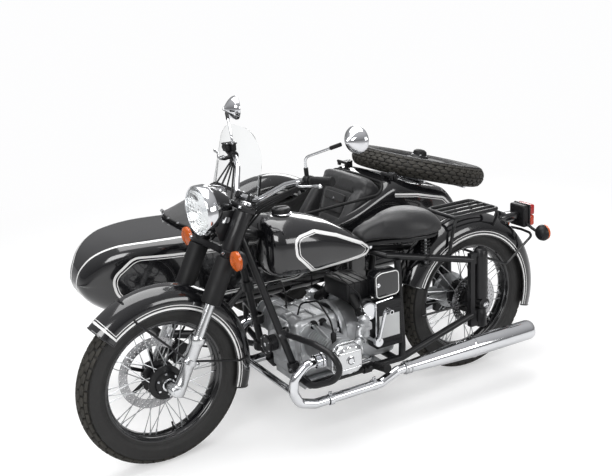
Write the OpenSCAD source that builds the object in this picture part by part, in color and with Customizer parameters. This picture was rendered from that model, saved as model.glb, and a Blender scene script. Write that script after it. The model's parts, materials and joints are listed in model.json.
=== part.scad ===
// Flat-twin motorcycle with a passenger sidecar on its right-hand side.
// Drawn with the rear axle over the origin, X forward, Y left, Z up from the floor,
// and moved at the end so that the origin is the middle of its footprint.

/* [Running gear] */
// Distance between the front and rear axles
wheel_base = 1497; // [1400:1:1560]
// Sideways distance from the rear wheel to the sidecar wheel
track = 1140; // [1100:1:1300]
// How far the sidecar wheel is ahead of the rear axle
wheel_lead = 400; // [330:1:440]
// Outer radius of every tyre
tyre_r = 345; // [330:1:360]
// Width of every tyre
tyre_w = 104; // [90:1:112]
// Radius of the rim under the tyre bead
rim_r = 247; // [235:1:260]
// Width of the rim
rim_w = 66; // [54:1:76]
// Spokes on each side of a wheel
spoke_count = 20; // [12:1:24]
// Radius of the hub barrel
hub_r = 46; // [36:1:56]
// Radius of the axles
axle_r = 10; // [8:0.5:12]
// Radius of the front brake disc
disc_r = 148; // [120:1:160]

/* [Steering] */
// Angle of the steering axis back from upright
rake = 27; // [24:0.5:30]
// Distance from the steering axis to the tyre contact along the floor
trail = 87; // [60:1:110]
// How far the handlebar is turned to the left as it stands
steer_rest = 4; // [0:0.5:10]
// Distance from the middle to each fork leg
leg_y = 110; // [106:1:125]
// Distance of the fork legs ahead of the steering axis
leg_x = 60; // [50:1:64]
// Radius of the fork sliders
slider_r = 26; // [22:1:28]

/* [Frame] */
// Radius of the frame tubes
tube_r = 15; // [12:0.5:18]
// Distance from the middle to each lower frame rail
rail_y = 142; // [140:1:160]
// Height of the lower frame rails
rail_z = 205; // [190:1:220]
// Distance from the middle to each rear suspension column
column_y = 128; // [126:1:140]

/* [Engine] */
// Position of the cylinders ahead of the rear axle
engine_x = 845; // [820:1:870]
// Height of the crankshaft
engine_z = 368; // [360:1:385]
// Half of the width over the valve covers
engine_half = 352; // [340:1:360]
// Radius of the cylinder fins
fin_r = 74; // [66:1:78]
// Fins on each cylinder
fin_count = 9; // [5:1:10]

/* [Tank and saddle] */
// Length of the fuel tank
tank_len = 456; // [430:1:470]
// Half of the width of the fuel tank
tank_half = 148; // [130:1:165]
// Height of the top of the fuel tank
tank_top = 915; // [895:1:940]
// Length of the rider's saddle
saddle_len = 424; // [400:1:430]

/* [Sidecar] */
// Distance from the middle of the motorcycle to the middle of the sidecar body
tub_y = 658; // [650:1:700]
// Width of the sidecar body
tub_w = 536; // [500:1:550]
// Height of the sidecar floor above the ground
tub_floor = 365; // [355:1:385]
// Height of the nose deck
deck_z = 762; // [740:1:790]
// Thickness of the sidecar walls, with their lining
wall = 12; // [8:1:16]
// Radius of the sidecar frame tubes
chassis_r = 19; // [16:1:21]
// Height of the sidecar frame
chassis_z = 300; // [290:1:308]

/* [Hidden] */
$fn = 48;

// Gap between pieces that fit, and gap between pieces that move past each other
fit = 0.3;
run = 6;

// Where the three wheels, the steering axis and the sidecar middle are
front_axle = [wheel_base, 0, tyre_r];
rear_axle = [0, 0, tyre_r];
side_axle = [wheel_lead, -track, tyre_r];
fork_offset = tyre_r * sin(rake) - trail * cos(rake);
steer_foot = front_axle - fork_offset * [cos(rake), 0, sin(rake)];

// Outer limits of the whole outfit, for the middle of its footprint
spare_lift = 14;
spare_tilt = atan2(836 - 752, 300);
spare_mid = [-226, -tub_y, 749] + (tyre_w / 2 + spare_lift) * [-sin(spare_tilt), 0, cos(spare_tilt)];
x_front = wheel_base + tyre_r;
x_rear = spare_mid.x - (tyre_r - tyre_w / 2) * cos(spare_tilt) - tyre_w / 2;
mirror_ball = [862, 432, 1262];
mirror_r = 52;
mirror_yaw = 12;
y_left = steered(mirror_ball).y + mirror_r * cos(mirror_yaw);
y_right = -track - 76;
origin = [(x_front + x_rear) / 2, (y_left + y_right) / 2, 0];

// A round bar between two points
module rod(a, b, r) {
    v = b - a;
    translate(a) rotate([0, acos(v.z / norm(v)), atan2(v.y, v.x)]) cylinder(r = r, h = norm(v));
}

// A ball at p whose poles lie on the line towards q
module ball(p, q, r) {
    v = q - p;
    translate(p) rotate([0, acos(v.z / norm(v)), atan2(v.y, v.x)]) sphere(r = r);
}

// A bent tube through a row of points, with a ball at each bend
module pipe(points, r) {
    for (i = [1 : len(points) - 1]) rod(points[i - 1], points[i], r);
    if (len(points) > 2)
        for (i = [1 : len(points) - 2]) ball(points[i], points[i + 1], r + fit);
}

// A clamp ring of a given length on a tube from a to b, a share t of the way along it
module ring(a, b, t, r, length) {
    d = (b - a) / norm(b - a);
    m = a + t * (b - a);
    rod(m - d * length / 2, m + d * length / 2, r);
}

module both_sides() {
    children();
    mirror([0, 1, 0]) children();
}

// Where a point of the straight-ahead fork goes when the handlebar stands as it does
function steered(p) =
    let (k = [-sin(rake), 0, cos(rake)], v = p - steer_foot)
    steer_foot + v * cos(steer_rest) + cross(k, v) * sin(steer_rest) + k * (k * v) * (1 - cos(steer_rest));

// What turns with the handlebar, drawn with the wheel straight ahead
module turned() {
    translate(steer_foot) rotate([0, -rake, 0]) rotate([0, 0, steer_rest])
        rotate([0, rake, 0]) translate(-steer_foot) children();
}

// The fork's own frame: Z up the steering axis and X forward from it
module fork_frame() {
    turned() translate(steer_foot) rotate([0, -rake, 0]) children();
}

// Corners of an outline, each rounded by an arc: rows of [x, y, radius]
function unit(v) = v / norm(v);
function arc_corner(p, c, n, r, steps) =
    let (u = unit(p - c), w = unit(n - c), half = acos(u * w) / 2,
        mid = c + unit(u + w) * r / sin(half),
        start = c + u * r / tan(half) - mid, end = c + w * r / tan(half) - mid,
        sweep = 180 - 2 * half, turn = sign(start.x * end.y - start.y * end.x))
    [for (i = [0 : steps]) let (a = turn * sweep * i / steps)
        mid + [start.x * cos(a) - start.y * sin(a), start.x * sin(a) + start.y * cos(a)]];
function rounded(rows, steps = 5) =
    let (n = len(rows))
    [for (i = [0 : n - 1])
        let (c = [rows[i][0], rows[i][1]], r = rows[i][2],
            p = [rows[(i + n - 1) % n][0], rows[(i + n - 1) % n][1]],
            q = [rows[(i + 1) % n][0], rows[(i + 1) % n][1]])
        each r > 0 ? arc_corner(p, c, q, r, steps) : [c]];

// ---- Wheels -------------------------------------------------------------------------

// A tyre about the Y axis
module tyre() {
    rotate([90, 0, 0]) rotate_extrude($fn = 96) difference() {
        translate([tyre_r - tyre_w / 2, 0]) circle(r = tyre_w / 2);
        translate([0, -tyre_w]) square([rim_r, 2 * tyre_w]);
    }
}

// Rim, spokes and hub about the Y axis, with a bore for the axle
flange_r = hub_r + 22;
flange_y = 32;
hub_half = 58;
rim_wall = 9;
module spoked_wheel() {
    difference() {
        union() {
            rotate([90, 0, 0]) rotate_extrude($fn = 96) polygon([
                [rim_r - rim_wall, -rim_w / 2 + 8], [rim_r, -rim_w / 2], [rim_r, rim_w / 2],
                [rim_r - rim_wall, rim_w / 2 - 8], [rim_r - rim_wall - 8, 10], [rim_r - rim_wall - 8, -10]]);
            rotate([90, 0, 0]) cylinder(r = hub_r, h = 2 * hub_half, center = true);
            for (side = [-1, 1]) {
                translate([0, side * flange_y, 0]) rotate([90, 0, 0])
                    cylinder(r = flange_r, h = 8, center = true);
                for (i = [0 : spoke_count - 1]) {
                    a = 360 * (i + side / 4) / spoke_count;
                    b = a + side * 24;
                    rod([(flange_r - 6) * cos(a), side * flange_y, (flange_r - 6) * sin(a)],
                        [(rim_r - rim_wall - 6) * cos(b), side * 6, (rim_r - rim_wall - 6) * sin(b)], 2.2,
                        $fn = 16);
                }
            }
        }
        rotate([90, 0, 0]) cylinder(r = axle_r + fit, h = 4 * hub_half, center = true);
    }
}

// A brake disc on one side of a hub, with the carrier that bolts to it
disc_y = 72;
module brake_disc(side, r) {
    difference() {
        union() {
            translate([0, side * (hub_half + disc_y) / 2, 0]) rotate([90, 0, 0])
                cylinder(r = hub_r, h = disc_y - hub_half, center = true);
            translate([0, side * disc_y, 0]) rotate([90, 0, 0])
                cylinder(r = r, h = 5, center = true, $fn = 96);
        }
        rotate([90, 0, 0]) cylinder(r = axle_r + fit, h = 4 * disc_y, center = true);
        for (i = [0 : 7]) rotate([0, 45 * i, 0]) translate([(hub_r + r - 30) / 2, side * disc_y, 0])
            rotate([90, 0, 0]) cylinder(r = 0.3 * (r - 30 - hub_r), h = 20, center = true);
    }
}

module front_tyre() {
    color("#17150f") turned() translate(front_axle) tyre();
}

module front_wheel() {
    color("silver") turned() translate(front_axle) {
        spoked_wheel();
        brake_disc(-1, disc_r);
    }
}

module rear_tyre() {
    color("#17150f") translate(rear_axle) tyre();
}

module rear_wheel() {
    color("silver") translate(rear_axle) {
        spoked_wheel();
        brake_disc(1, disc_r - 26);
    }
}

module sidecar_tyre() {
    color("#17150f") translate(side_axle) tyre();
}

module sidecar_wheel() {
    color("silver") translate(side_axle) spoked_wheel();
}

// ---- Front fork, all about the steering axis ------------------------------------------

leg_top = 748;
low_yoke = [536, 564];
top_yoke = [722, 744];
stem_r = 14;
upper_r = 22;
shroud_r = 39;
shroud_z = [352, low_yoke[0]];
flange_z = 206;
flange_leg_r = 32;

module fork_yokes() {
    color("#141416") fork_frame() {
        for (span = [low_yoke, top_yoke]) difference() {
            translate([0, 0, span[0]]) {
                cylinder(r = 32, h = span[1] - span[0]);
                translate([-8, -leg_y, 0]) cube([leg_x - 12, 2 * leg_y, span[1] - span[0]]);
                for (y = [-leg_y, leg_y]) translate([leg_x, y, 0])
                    cylinder(r = upper_r + 11, h = span[1] - span[0]);
            }
            for (y = [-leg_y, leg_y]) translate([leg_x, y, 0]) cylinder(r = upper_r + fit, h = 1000);
        }
        translate([0, 0, low_yoke[0]]) cylinder(r = stem_r, h = top_yoke[1] - low_yoke[0] + 8);
        for (y = [-44, 44]) translate([0, y, top_yoke[1]]) difference() {
            cylinder(r = 15, h = bar_lift + 16);
            translate([0, 0, bar_lift]) rotate([90, 0, 0])
                cylinder(r = bar_r + fit, h = 60, center = true);
        }
    }
}

module fork_legs() {
    color("#c9c9c6") fork_frame() {
        for (y = [-leg_y, leg_y]) translate([leg_x, y, 0]) {
            translate([0, 0, -22]) cylinder(r = slider_r, h = flange_z + 22);
            translate([0, 0, flange_z]) cylinder(r = flange_leg_r, h = 14);
            translate([0, 0, flange_z + 14]) cylinder(r = upper_r - 2, h = 200);
            translate([0, 0, shroud_z[0]]) cylinder(r = shroud_r, h = shroud_z[1] - shroud_z[0] - fit);
            translate([0, 0, shroud_z[1] - 20]) cylinder(r = upper_r, h = leg_top - shroud_z[1] + 20);
            translate([0, 0, leg_top]) cylinder(r = upper_r - 4, h = 12);
            translate([fork_offset - leg_x, 0, 0]) rotate([90, 0, 0])
                cylinder(r = slider_r - 2, h = 2 * slider_r - 2, center = true);
        }
        translate([fork_offset, 0, 0]) rotate([90, 0, 0])
            cylinder(r = axle_r, h = 2 * leg_y + 62, center = true);
    }
}

// A mudguard about the Y axis: a crown over two skirts, swept round between two angles
module guard(outer, half, depth, start, sweep, sheet = 3) {
    rotate([0, -start, 0]) rotate([90, 0, 0]) rotate_extrude(angle = sweep, $fn = 96) difference() {
        union() {
            translate([outer - half, 0]) circle(r = half);
            translate([outer - depth, -half]) square([depth - half, 2 * half]);
        }
        translate([outer - half, 0]) circle(r = half - sheet);
        translate([0, -half + sheet]) square([outer - half, 2 * (half - sheet)]);
        translate([0, -half - 1]) square([outer - depth, 2 * half + 2]);
    }
}

front_guard_r = 388;
front_guard_half = 68;
module front_mudguard() {
    color("#101012") fork_frame() difference() {
        union() {
            translate([fork_offset, 0, 0])
                guard(front_guard_r, front_guard_half, 86, 20, 152);
            both_sides() {
                rod([-front_guard_r * 0.5, front_guard_half + 1, flange_z - 8],
                    [fork_offset + front_guard_r * 0.62, front_guard_half + 1, flange_z - 8], 4);
                translate([leg_x - 14, front_guard_half - 2, flange_z - 16])
                    cube([28, leg_y - front_guard_half - 14, 14]);
            }
        }
        for (y = [-leg_y, leg_y]) translate([leg_x, y, 0])
            cylinder(r = slider_r + fit, h = flange_z);
    }
}

module brake_caliper() {
    color("#1c1c1e") fork_frame() difference() {
        translate([leg_x - 78, -disc_y - 24, 62]) cube([58, 42, 84]);
        translate([fork_offset, -disc_y, 0]) rotate([90, 0, 0])
            cylinder(r = disc_r + run, h = 2 * run, center = true, $fn = 96);
        translate([leg_x, -leg_y, 0]) cylinder(r = slider_r + fit, h = flange_z);
    }
    color("#1c1c1e") fork_frame() difference() {
        translate([leg_x - 40, -leg_y - 8, 76]) cube([36, 16, 52]);
        translate([leg_x, -leg_y, 0]) cylinder(r = slider_r + fit, h = flange_z);
        translate([leg_x - 78, -disc_y - 24, 62]) cube([58, 42, 84]);
    }
}

lamp_face = [1296, 0, 983];
lamp_r = 98;
lamp_len = 142;
module headlamp() {
    color("#101012") turned() {
        difference() {
            translate(lamp_face) rotate([0, 90, 0]) rotate_extrude($fn = 64) polygon([
                [0, -lamp_len], [26, -lamp_len + 2], [52, -lamp_len + 16], [74, -lamp_len + 40],
                [86, -lamp_len + 70], [lamp_r - 7, -48], [lamp_r, -46], [lamp_r, -6], [lamp_r - 5, 0],
                [lamp_r - 6, 0], [lamp_r - 6, -12], [0, -12]]);
        }
        for (y = [-1, 1]) difference() {
            translate([lamp_face.x - 150, y * 82, lamp_face.z - 78])
                cube_between([0, 0, 0], [92, 8 * y, 46]);
            leg_bores();
            translate(lamp_face) rotate([0, 90, 0]) translate([0, 0, -lamp_len])
                cylinder(r = 74, h = lamp_len);
        }
    }
}

// A box between two opposite corners
module cube_between(a, b) {
    translate([min(a.x, b.x), min(a.y, b.y), min(a.z, b.z)])
        cube([abs(b.x - a.x), abs(b.y - a.y), abs(b.z - a.z)]);
}

// The holes that the fork legs pass through, in the frame that turned() draws in
module leg_bores() {
    translate(steer_foot) rotate([0, -rake, 0]) for (y = [-leg_y, leg_y])
        translate([leg_x, y, 0]) cylinder(r = upper_r + fit, h = 1000);
}

module headlamp_glass() {
    color("#cfd8dc") turned() translate(lamp_face - [12, 0, 0]) rotate([0, 90, 0])
        rotate_extrude($fn = 64) polygon([[0, fit], [lamp_r - 6 - fit, fit], [lamp_r - 6 - fit, 9],
            [60, 16], [0, 20]]);
}

bar_r = 11;
bar_lift = 28;
bar_mid = steer_foot + (top_yoke[1] + bar_lift) * [-sin(rake), 0, cos(rake)];
bar_points = [[0, 74, 0], [-72, 178, 74], [-104, 256, 101], [-138, 388, 116]];
function bar_at(i) = bar_mid + bar_points[i];
module handlebar() {
    color("#d5d7da") turned() {
        translate(bar_mid) rotate([90, 0, 0]) cylinder(r = bar_r, h = 148, center = true);
        both_sides() {
            translate(bar_at(0)) sphere(r = bar_r + fit);
            pipe([for (i = [0 : 3]) bar_at(i)], bar_r);
        }
    }
}

// A point along the straight end of the left bar, a share t from its bend to its tip
function on_bar(t) = bar_at(2) + t * (bar_at(3) - bar_at(2));
grip_t = [0.26, 1.03];
module grips() {
    color("#18181a") turned() both_sides() difference() {
        rod(on_bar(grip_t[0]), on_bar(grip_t[1]), 17);
        rod(on_bar(0), on_bar(1), bar_r + fit);
    }
}

module hand_controls() {
    color("#202022") turned() {
        both_sides() {
            difference() {
                union() {
                    rod(on_bar(0.06), on_bar(0.24), 19);
                    rod(on_bar(0.12) + [14, 0, -4], on_bar(0.12) + [52, 6, -8], 9);
                }
                rod(on_bar(0), on_bar(1), bar_r + fit);
            }
            pipe([on_bar(0.12) + [50, 6, -8], on_bar(0.5) + [58, 4, -10], on_bar(0.98) + [50, 0, -8]], 6);
            translate(on_bar(0.98) + [50, 0, -8]) sphere(r = 9);
        }
        mirror([0, 1, 0]) difference() {
            translate(on_bar(0.2) + [-18, -4, 16]) cube([48, 40, 30]);
            rod(on_bar(0), on_bar(1), 17 + fit);
        }
    }
}

module mirrors() {
    color("#d5d7da") turned() both_sides() {
        pipe([on_bar(0.1) + [0, 0, 20], on_bar(0.1) + [6, 0, 88], mirror_ball + [10, -62, -14],
            mirror_ball + [6, -20, 0]], 5);
        translate(mirror_ball) rotate([0, 90, mirror_yaw]) rotate_extrude($fn = 48) polygon([
            [0, -14], [mirror_r - 3, -14], [mirror_r, -10], [mirror_r, -2], [42, 14], [24, 25], [0, 30]]);
    }
}

indicator_r = 38;
front_indicator = [leg_x, leg_y + 86, low_yoke[0] + 14];
module front_indicators() {
    color("#e88a1c") fork_frame() for (side = [-1, 1]) {
        translate([front_indicator.x, side * front_indicator.y, front_indicator.z])
            rotate([0, 90 + rake, 0]) rotate_extrude() polygon([
                [0, -22], [20, -20], [34, -6], [indicator_r, 8], [indicator_r, 18], [28, 27], [0, 30]]);
        rod([leg_x, side * (leg_y + upper_r + 11 + fit), front_indicator.z],
            [leg_x, side * (front_indicator.y - 12), front_indicator.z], 7);
    }
}

// ---- Motorcycle frame -------------------------------------------------------------------

function flip(p) = [p.x, -p.y, p.z];
function axis_at(s) = steer_foot + s * [-sin(rake), 0, cos(rake)];
head_span = [low_yoke[1] + run, top_yoke[0] - run];
head_r = 27;
spine_top = axis_at((head_span[0] + head_span[1]) / 2 - 14);
seat_node = [520, 0, 668];
down_foot = [980, rail_y, 290];
rail_front = [915, rail_y, rail_z];
rail_rear = [455, rail_y, rail_z];
column_x = 4;
column_top = 610;
column_foot = 236;
lug_top = [column_x + 52, column_y, 560];
lug_low = [column_x + 52, column_y, 300];
down_top = axis_at(head_span[0] + 80) + [0, 22, 0];
post_top = [430, 90, 628];
post_foot = [452, rail_y, 262];

module frame_tubes(r) {
    rod(spine_top, seat_node, r + 4);
    both_sides() {
        pipe([down_top, down_foot, rail_front, rail_rear, lug_low], r);
        pipe([seat_node, [475, 70, 652], lug_top], r);
        pipe([post_top, post_foot, rail_rear], r);
    }
    rod(rail_rear + [30, 0, 0], [rail_rear.x + 30, -rail_y, rail_z], r);
    rod(rail_front, [rail_front.x, -rail_y, rail_z], r);
}

module frame() {
    color("#0f0f11") difference() {
        union() {
            frame_tubes(tube_r);
            rod(axis_at(head_span[0]), axis_at(head_span[1]), head_r);
            both_sides() difference() {
                translate([column_x + 34, column_y - 12, column_foot + 10])
                    cube([32, 24, column_top - column_foot - 30]);
                translate([column_x + 20, column_y - 13, lug_low.z + 20])
                    cube([22, 26, lug_top.z - lug_low.z - 40]);
            }
            both_sides() for (z = [column_foot + 10, column_top - 38])
                translate([column_x, column_y - 12, z]) cube([40, 24, 18]);
        }
        rod(axis_at(head_span[0] - 1), axis_at(head_span[1] + 1), stem_r + fit);
        both_sides() translate([column_x, column_y, 0]) cylinder(r = column_r + fit, h = 1000);
    }
}

column_r = 13;
cover_r = 31;
carrier_r = 28;
module suspension_columns() {
    color("#101012") {
        both_sides() {
            translate([column_x, column_y, column_foot]) cylinder(r = column_r, h = column_top - column_foot);
            translate([column_x, column_y, tyre_r + 30])
                cylinder(r = cover_r, h = column_top - 38 - tyre_r - 30 - fit);
            translate([column_x, column_y, column_foot + 28 + fit])
                cylinder(r = cover_r - 6, h = tyre_r - column_foot - 50);
            translate([0, column_y, tyre_r]) rotate([90, 0, 0])
                cylinder(r = carrier_r, h = 44, center = true);
        }
        translate(rear_axle) rotate([90, 0, 0])
            cylinder(r = axle_r, h = 2 * column_y + 70, center = true);
    }
}

// ---- Engine and what is on it ------------------------------------------------------------

case_half = 108;
gearbox_x = engine_x - 395;
gearbox_half = case_half - 14;
gearbox_top = engine_z + 49;
module engine_block() {
    color("#8f9296") difference() {
        union() {
            translate([engine_x - 105, -case_half, rail_z + 6]) cube([212, 2 * case_half, 268]);
            translate([engine_x + 107, 0, engine_z]) rotate([0, 90, 0]) cylinder(r = 92, h = 40);
            translate([gearbox_x, -gearbox_half, rail_z + 6])
                cube([engine_x - 105 - gearbox_x, 2 * gearbox_half, gearbox_top - rail_z - 6]);
            translate([engine_x - 84, -118, rail_z - 26]) cube([170, 236, 32]);
            for (x = [rail_front.x - 60, rail_rear.x + 110])
                translate([x - 16, -rail_y + 4, rail_z - 12]) cube([32, 2 * rail_y - 8, 24]);
        }
        frame_tubes(tube_r + fit);
        translate([engine_x, 0, engine_z]) rotate([90, 0, 0])
            cylinder(r = barrel_r - 6, h = 1000, center = true);
    }
}

barrel_r = 56;
head_y = 246;
cover_y = engine_half - 46;
module cylinders() {
    color("#a7a9ac") both_sides() translate([engine_x, 0, engine_z]) rotate([-90, 0, 0]) {
        translate([0, 0, case_half + fit]) cylinder(r = barrel_r, h = cover_y - case_half - fit);
        translate([0, 0, case_half + fit]) cylinder(r = barrel_r + 10, h = 8);
        for (i = [0 : fin_count - 1])
            translate([0, 0, case_half + 18 + i * (head_y - case_half - 18) / (fin_count - 1)])
                cylinder(r = fin_r, h = 4);
        translate([0, 0, head_y + 14]) cylinder(r = fin_r - 6, h = cover_y - head_y - 14);
        translate([fin_r - 30, 0, head_y + 26]) rotate([0, 90, 0]) cylinder(r = 24, h = 48);
        translate([-fin_r - 18, -18, head_y + 26]) rotate([0, 90, 0]) cylinder(r = 20, h = 60);
    }
}

module valve_covers() {
    color("#c9c9c6") both_sides() translate([engine_x, cover_y + fit, engine_z]) rotate([-90, 0, 0]) {
        cylinder(r = 67, h = 10);
        translate([0, 0, 10]) cylinder(r = 61, h = engine_half - cover_y - 16 - fit);
        translate([0, 0, engine_half - cover_y - 6 - fit]) cylinder(r = 16, h = 6);
    }
}

intake_start = [engine_x - fin_r - 18, head_y + 26, engine_z + 18];
carb_mid = [engine_x - 160, 206, engine_z + 62];
module carburettors() {
    color("#8a8c90") both_sides() {
        difference() {
            union() {
                rod(intake_start, carb_mid + [26, 12, -14], 18);
                rod(carb_mid + [30, 15, -16], carb_mid - [26, 12, -14], 24);
                translate(carb_mid + [0, 0, -52]) cylinder(r = 24, h = 92);
                rod(carb_mid - [20, 12, -12], [box_x[1] - 20, box_half - 20, box_z + 40], 18);
            }
            translate([box_x[0], -box_half - fit, box_z - fit])
                cube([box_x[1] - box_x[0] + fit, 2 * box_half + 2 * fit, 200]);
            translate([engine_x - fin_r - 18 - fit, 0, engine_z]) cube([200, 1000, 120]);
        }
    }
}

box_x = [560, 690];
box_half = 92;
box_z = 492;
module air_box() {
    color("#1a1a1c") {
        translate([box_x[0], -box_half, box_z]) cube([box_x[1] - box_x[0], 2 * box_half, 82]);
        translate([box_x[0] + 20, -40, gearbox_top + fit]) cube([70, 80, box_z - gearbox_top - fit]);
    }
}

battery_x = [462, 600];
battery_z = [282, 486];
module battery_box() {
    color("#1a1a1c") difference() {
        translate([battery_x[0], gearbox_half + fit, battery_z[0]])
            cube([battery_x[1] - battery_x[0], 74, battery_z[1] - battery_z[0]]);
        frame_tubes(tube_r + fit);
    }
}

module side_covers() {
    color("#101012") both_sides() difference() {
        translate([466, box_half + fit, 500]) cube([126, 66, 118]);
        frame_tubes(tube_r + fit);
        translate([battery_x[0] - 20, 0, 0]) cube([140, 300, battery_z[1] + fit]);
    }
}

tank_rear = 588;
tank_low = 668;
// Balls that the tank is stretched over, [share of the length, drop of its top, radius, half width]
tank_balls = [[0.86, 0, 70, 1], [0.55, 28, 66, 1], [0.22, 100, 48, 0.94], [0.07, 168, 32, 0.7],
    [0.90, 167, 40, 0.86], [0.10, 183, 32, 0.8]];
module fuel_tank() {
    color("#0c0c0e") difference() {
        hull() for (b = tank_balls, side = [-1, 1])
            translate([tank_rear + b[0] * tank_len, side * (tank_half * b[3] - b[2]), tank_top - b[1] - b[2]])
                sphere(r = b[2], $fn = 32);
        rod(spine_top, seat_node, tube_r + 5);
        translate([tank_rear - 20, -tube_r - 5, 0]) cube([tank_len + 60, 2 * tube_r + 10, 750]);
        rod(axis_at(head_span[0] - 60), axis_at(head_span[1] + 60), head_r + run + 34);
        both_sides() pipe([seat_node, [475, 70, 652], lug_top], tube_r + fit);
        both_sides() rod(down_top, down_foot, tube_r + run);
        translate([cap_x, 0, cap_z]) cylinder(r = cap_r + fit, h = 200);
    }
}

cap_x = 926;
cap_z = tank_top - 12;
cap_r = 38;
module fuel_cap() {
    color("#151517") translate([cap_x, 0, cap_z]) {
        cylinder(r = cap_r, h = 26);
        translate([0, 0, 26]) cylinder(r = cap_r - 6, h = 6);
    }
}

saddle_x = [164, 164 + saddle_len];
saddle_z = 714;
module rider_saddle() {
    color("#131315") hull() {
        translate([saddle_x[0] + 110, 0, saddle_z]) cylinder(r = 128, h = 42, $fn = 32);
        translate([saddle_x[0] + 104, 0, saddle_z + 92]) cylinder(r = 92, h = 14, $fn = 32);
        translate([saddle_x[1] - 55, 0, saddle_z]) cylinder(r = 55, h = 60, $fn = 32);
    }
}

spring_x = saddle_x[0] + 120;
module saddle_pan() {
    color("#161618") difference() {
        union() {
            translate([saddle_x[0] + 60, -80, saddle_z - 14]) cube([saddle_len - 120, 160, 14 - fit]);
            both_sides() translate([spring_x, 96, saddle_z - 140]) cylinder(r = 20, h = 132);
            translate([saddle_x[0] + 60, -110, saddle_z - 14]) cube([90, 220, 14 - fit]);
            translate([seat_node.x - 14, -12, seat_node.z]) cube([28, 24, saddle_z - seat_node.z - 4]);
        }
        frame_tubes(tube_r + fit);
    }
}

rear_guard_r = 392;
rear_guard_half = 78;
stay_end = [column_x - 10, column_y - 14, column_top - 50];
module rear_mudguard() {
    color("#101012") difference() {
        union() {
            translate([0, 0, tyre_r]) guard(rear_guard_r, rear_guard_half, 92, 22, 176);
            pipe([stay_end, [-180, rear_guard_half + 4, 470], [-290, rear_guard_half + 4, 590],
                [-290, -rear_guard_half - 4, 590], [-180, -rear_guard_half - 4, 470], flip(stay_end)], 6);
        }
        both_sides() translate([column_x, column_y, 0]) cylinder(r = cover_r + fit, h = 1000);
        both_sides() translate([column_x, column_y - 12 - fit, 0]) cube([100, 40, 1000]);
        frame_tubes(tube_r + fit);
    }
}

rack_z = 756;
rack_x = [-124, 124];
rack_half = 98;
rack_r = 8;
module rear_rack() {
    color("#101012") difference() {
        union() {
            pipe([[rack_x[1], -rack_half, rack_z], [rack_x[0], -rack_half, rack_z],
                [rack_x[0], rack_half, rack_z], [rack_x[1], rack_half, rack_z],
                [rack_x[1], -rack_half, rack_z]], rack_r);
            translate([rack_x[1], -rack_half, rack_z]) sphere(r = rack_r + fit);
            for (y = [-49, 0, 49]) rod([rack_x[0], y, rack_z], [rack_x[1], y, rack_z], 6);
            both_sides() {
                rod([rack_x[1], rack_half, rack_z], [150, 92, 600], rack_r);
                rod([rack_x[0], rack_half, rack_z], [rack_x[0], 50, tyre_r + 290], rack_r);
            }
        }
        frame_tubes(tube_r + fit);
        translate([0, 0, tyre_r]) rotate([90, 0, 0])
            cylinder(r = rear_guard_r - 70, h = 500, center = true);
        translate([0, 0, tyre_r]) guard_core(rear_guard_r + fit, rear_guard_half + fit);
    }
}

// The space that a mudguard's outer face fills, as a full ring
module guard_core(outer, half) {
    rotate([90, 0, 0]) rotate_extrude($fn = 96) {
        translate([outer - half, 0]) circle(r = half);
        translate([outer - 120, -half]) square([120 - half, 2 * half]);
    }
}

lamp_back = [-352, 0, 662];
module rear_lights() {
    color("#c8321e") {
        difference() {
            union() {
                translate(lamp_back - [36, 0, 0]) rotate([0, 90, 0]) cylinder(r = 50, h = 66);
                rod(lamp_back + [20, 0, 10], [-200, 0, 694], 12);
            }
            translate([0, 0, tyre_r]) guard_core(rear_guard_r + fit, rear_guard_half + fit);
        }
        both_sides() {
            rod([-342, 40, 636], [-352, 104, 610], 7);
            translate([-378, 136, 606]) rotate([0, 90, 0]) {
                cylinder(r = 20, h = 52);
                cylinder(r = indicator_r, h = 34);
            }
        }
    }
}

// ---- Exhaust ------------------------------------------------------------------------------

pipe_r = 19;
muffler_y = 282;
muffler_z = 230;
muffler_r = 44;
port = [engine_x + fin_r + 19, head_y + 26, engine_z];
header_points = [port, [1000, 272, engine_z - 2], [1052, 264, 318], [1062, 262, 262],
    [1036, 262, 208], [970, 266, 188], [660, muffler_y - 6, 194], [580, muffler_y, muffler_z],
    [500, muffler_y, muffler_z]];
module exhaust_headers() {
    color("#cfd2d6") {
        both_sides() pipe(header_points, pipe_r);
        rod([1062, -262, 262], [1062, 262, 262], 14);
    }
}

module mufflers() {
    color("#cfd2d6") both_sides() difference() {
        translate([-152, muffler_y, muffler_z]) rotate([0, 90, 0]) rotate_extrude($fn = 64) polygon([
            [0, 0], [muffler_r - 8, 0], [muffler_r - 2, 14], [muffler_r, 26], [muffler_r, 340],
            [muffler_r - 6, 400], [34, 560], [26, 660], [26, 700], [0, 700]]);
        translate([-153, muffler_y, muffler_z]) rotate([0, 90, 0]) cylinder(r = 18, h = 160);
        translate([500 - 1, muffler_y, muffler_z]) rotate([0, 90, 0]) cylinder(r = pipe_r + fit, h = 200);
        pipe([[660, muffler_y - 6, 194], [580, muffler_y, muffler_z], [500, muffler_y, muffler_z]], pipe_r + fit);
    }
}

// ---- Small pieces on the frame ------------------------------------------------------------

bar_out = 398;
crash_loop = [[1004, 118, 446], [968, 280, 448], [938, 366, 424], [922, bar_out, 372],
    [936, 372, 318], [1000, 300, 284], [1012, 205, 300], [988, 150, 306]];
module crash_bars() {
    color("#101012") both_sides() difference() {
        union() {
            pipe(crash_loop, 13);
            ring(down_top, down_foot, 0.72, 25, 44);
            ring(down_top, down_foot, 0.95, 24, 36);
        }
        pipe([down_top, down_foot, rail_front], tube_r + fit);
        translate(port - [40, 0, 0]) rotate([0, 90, 0]) cylinder(r = 26, h = 60);
        pipe(header_points, pipe_r + fit);
        rod([1062, -300, 262], [1062, 300, 262], 14 + fit);
    }
}

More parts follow.
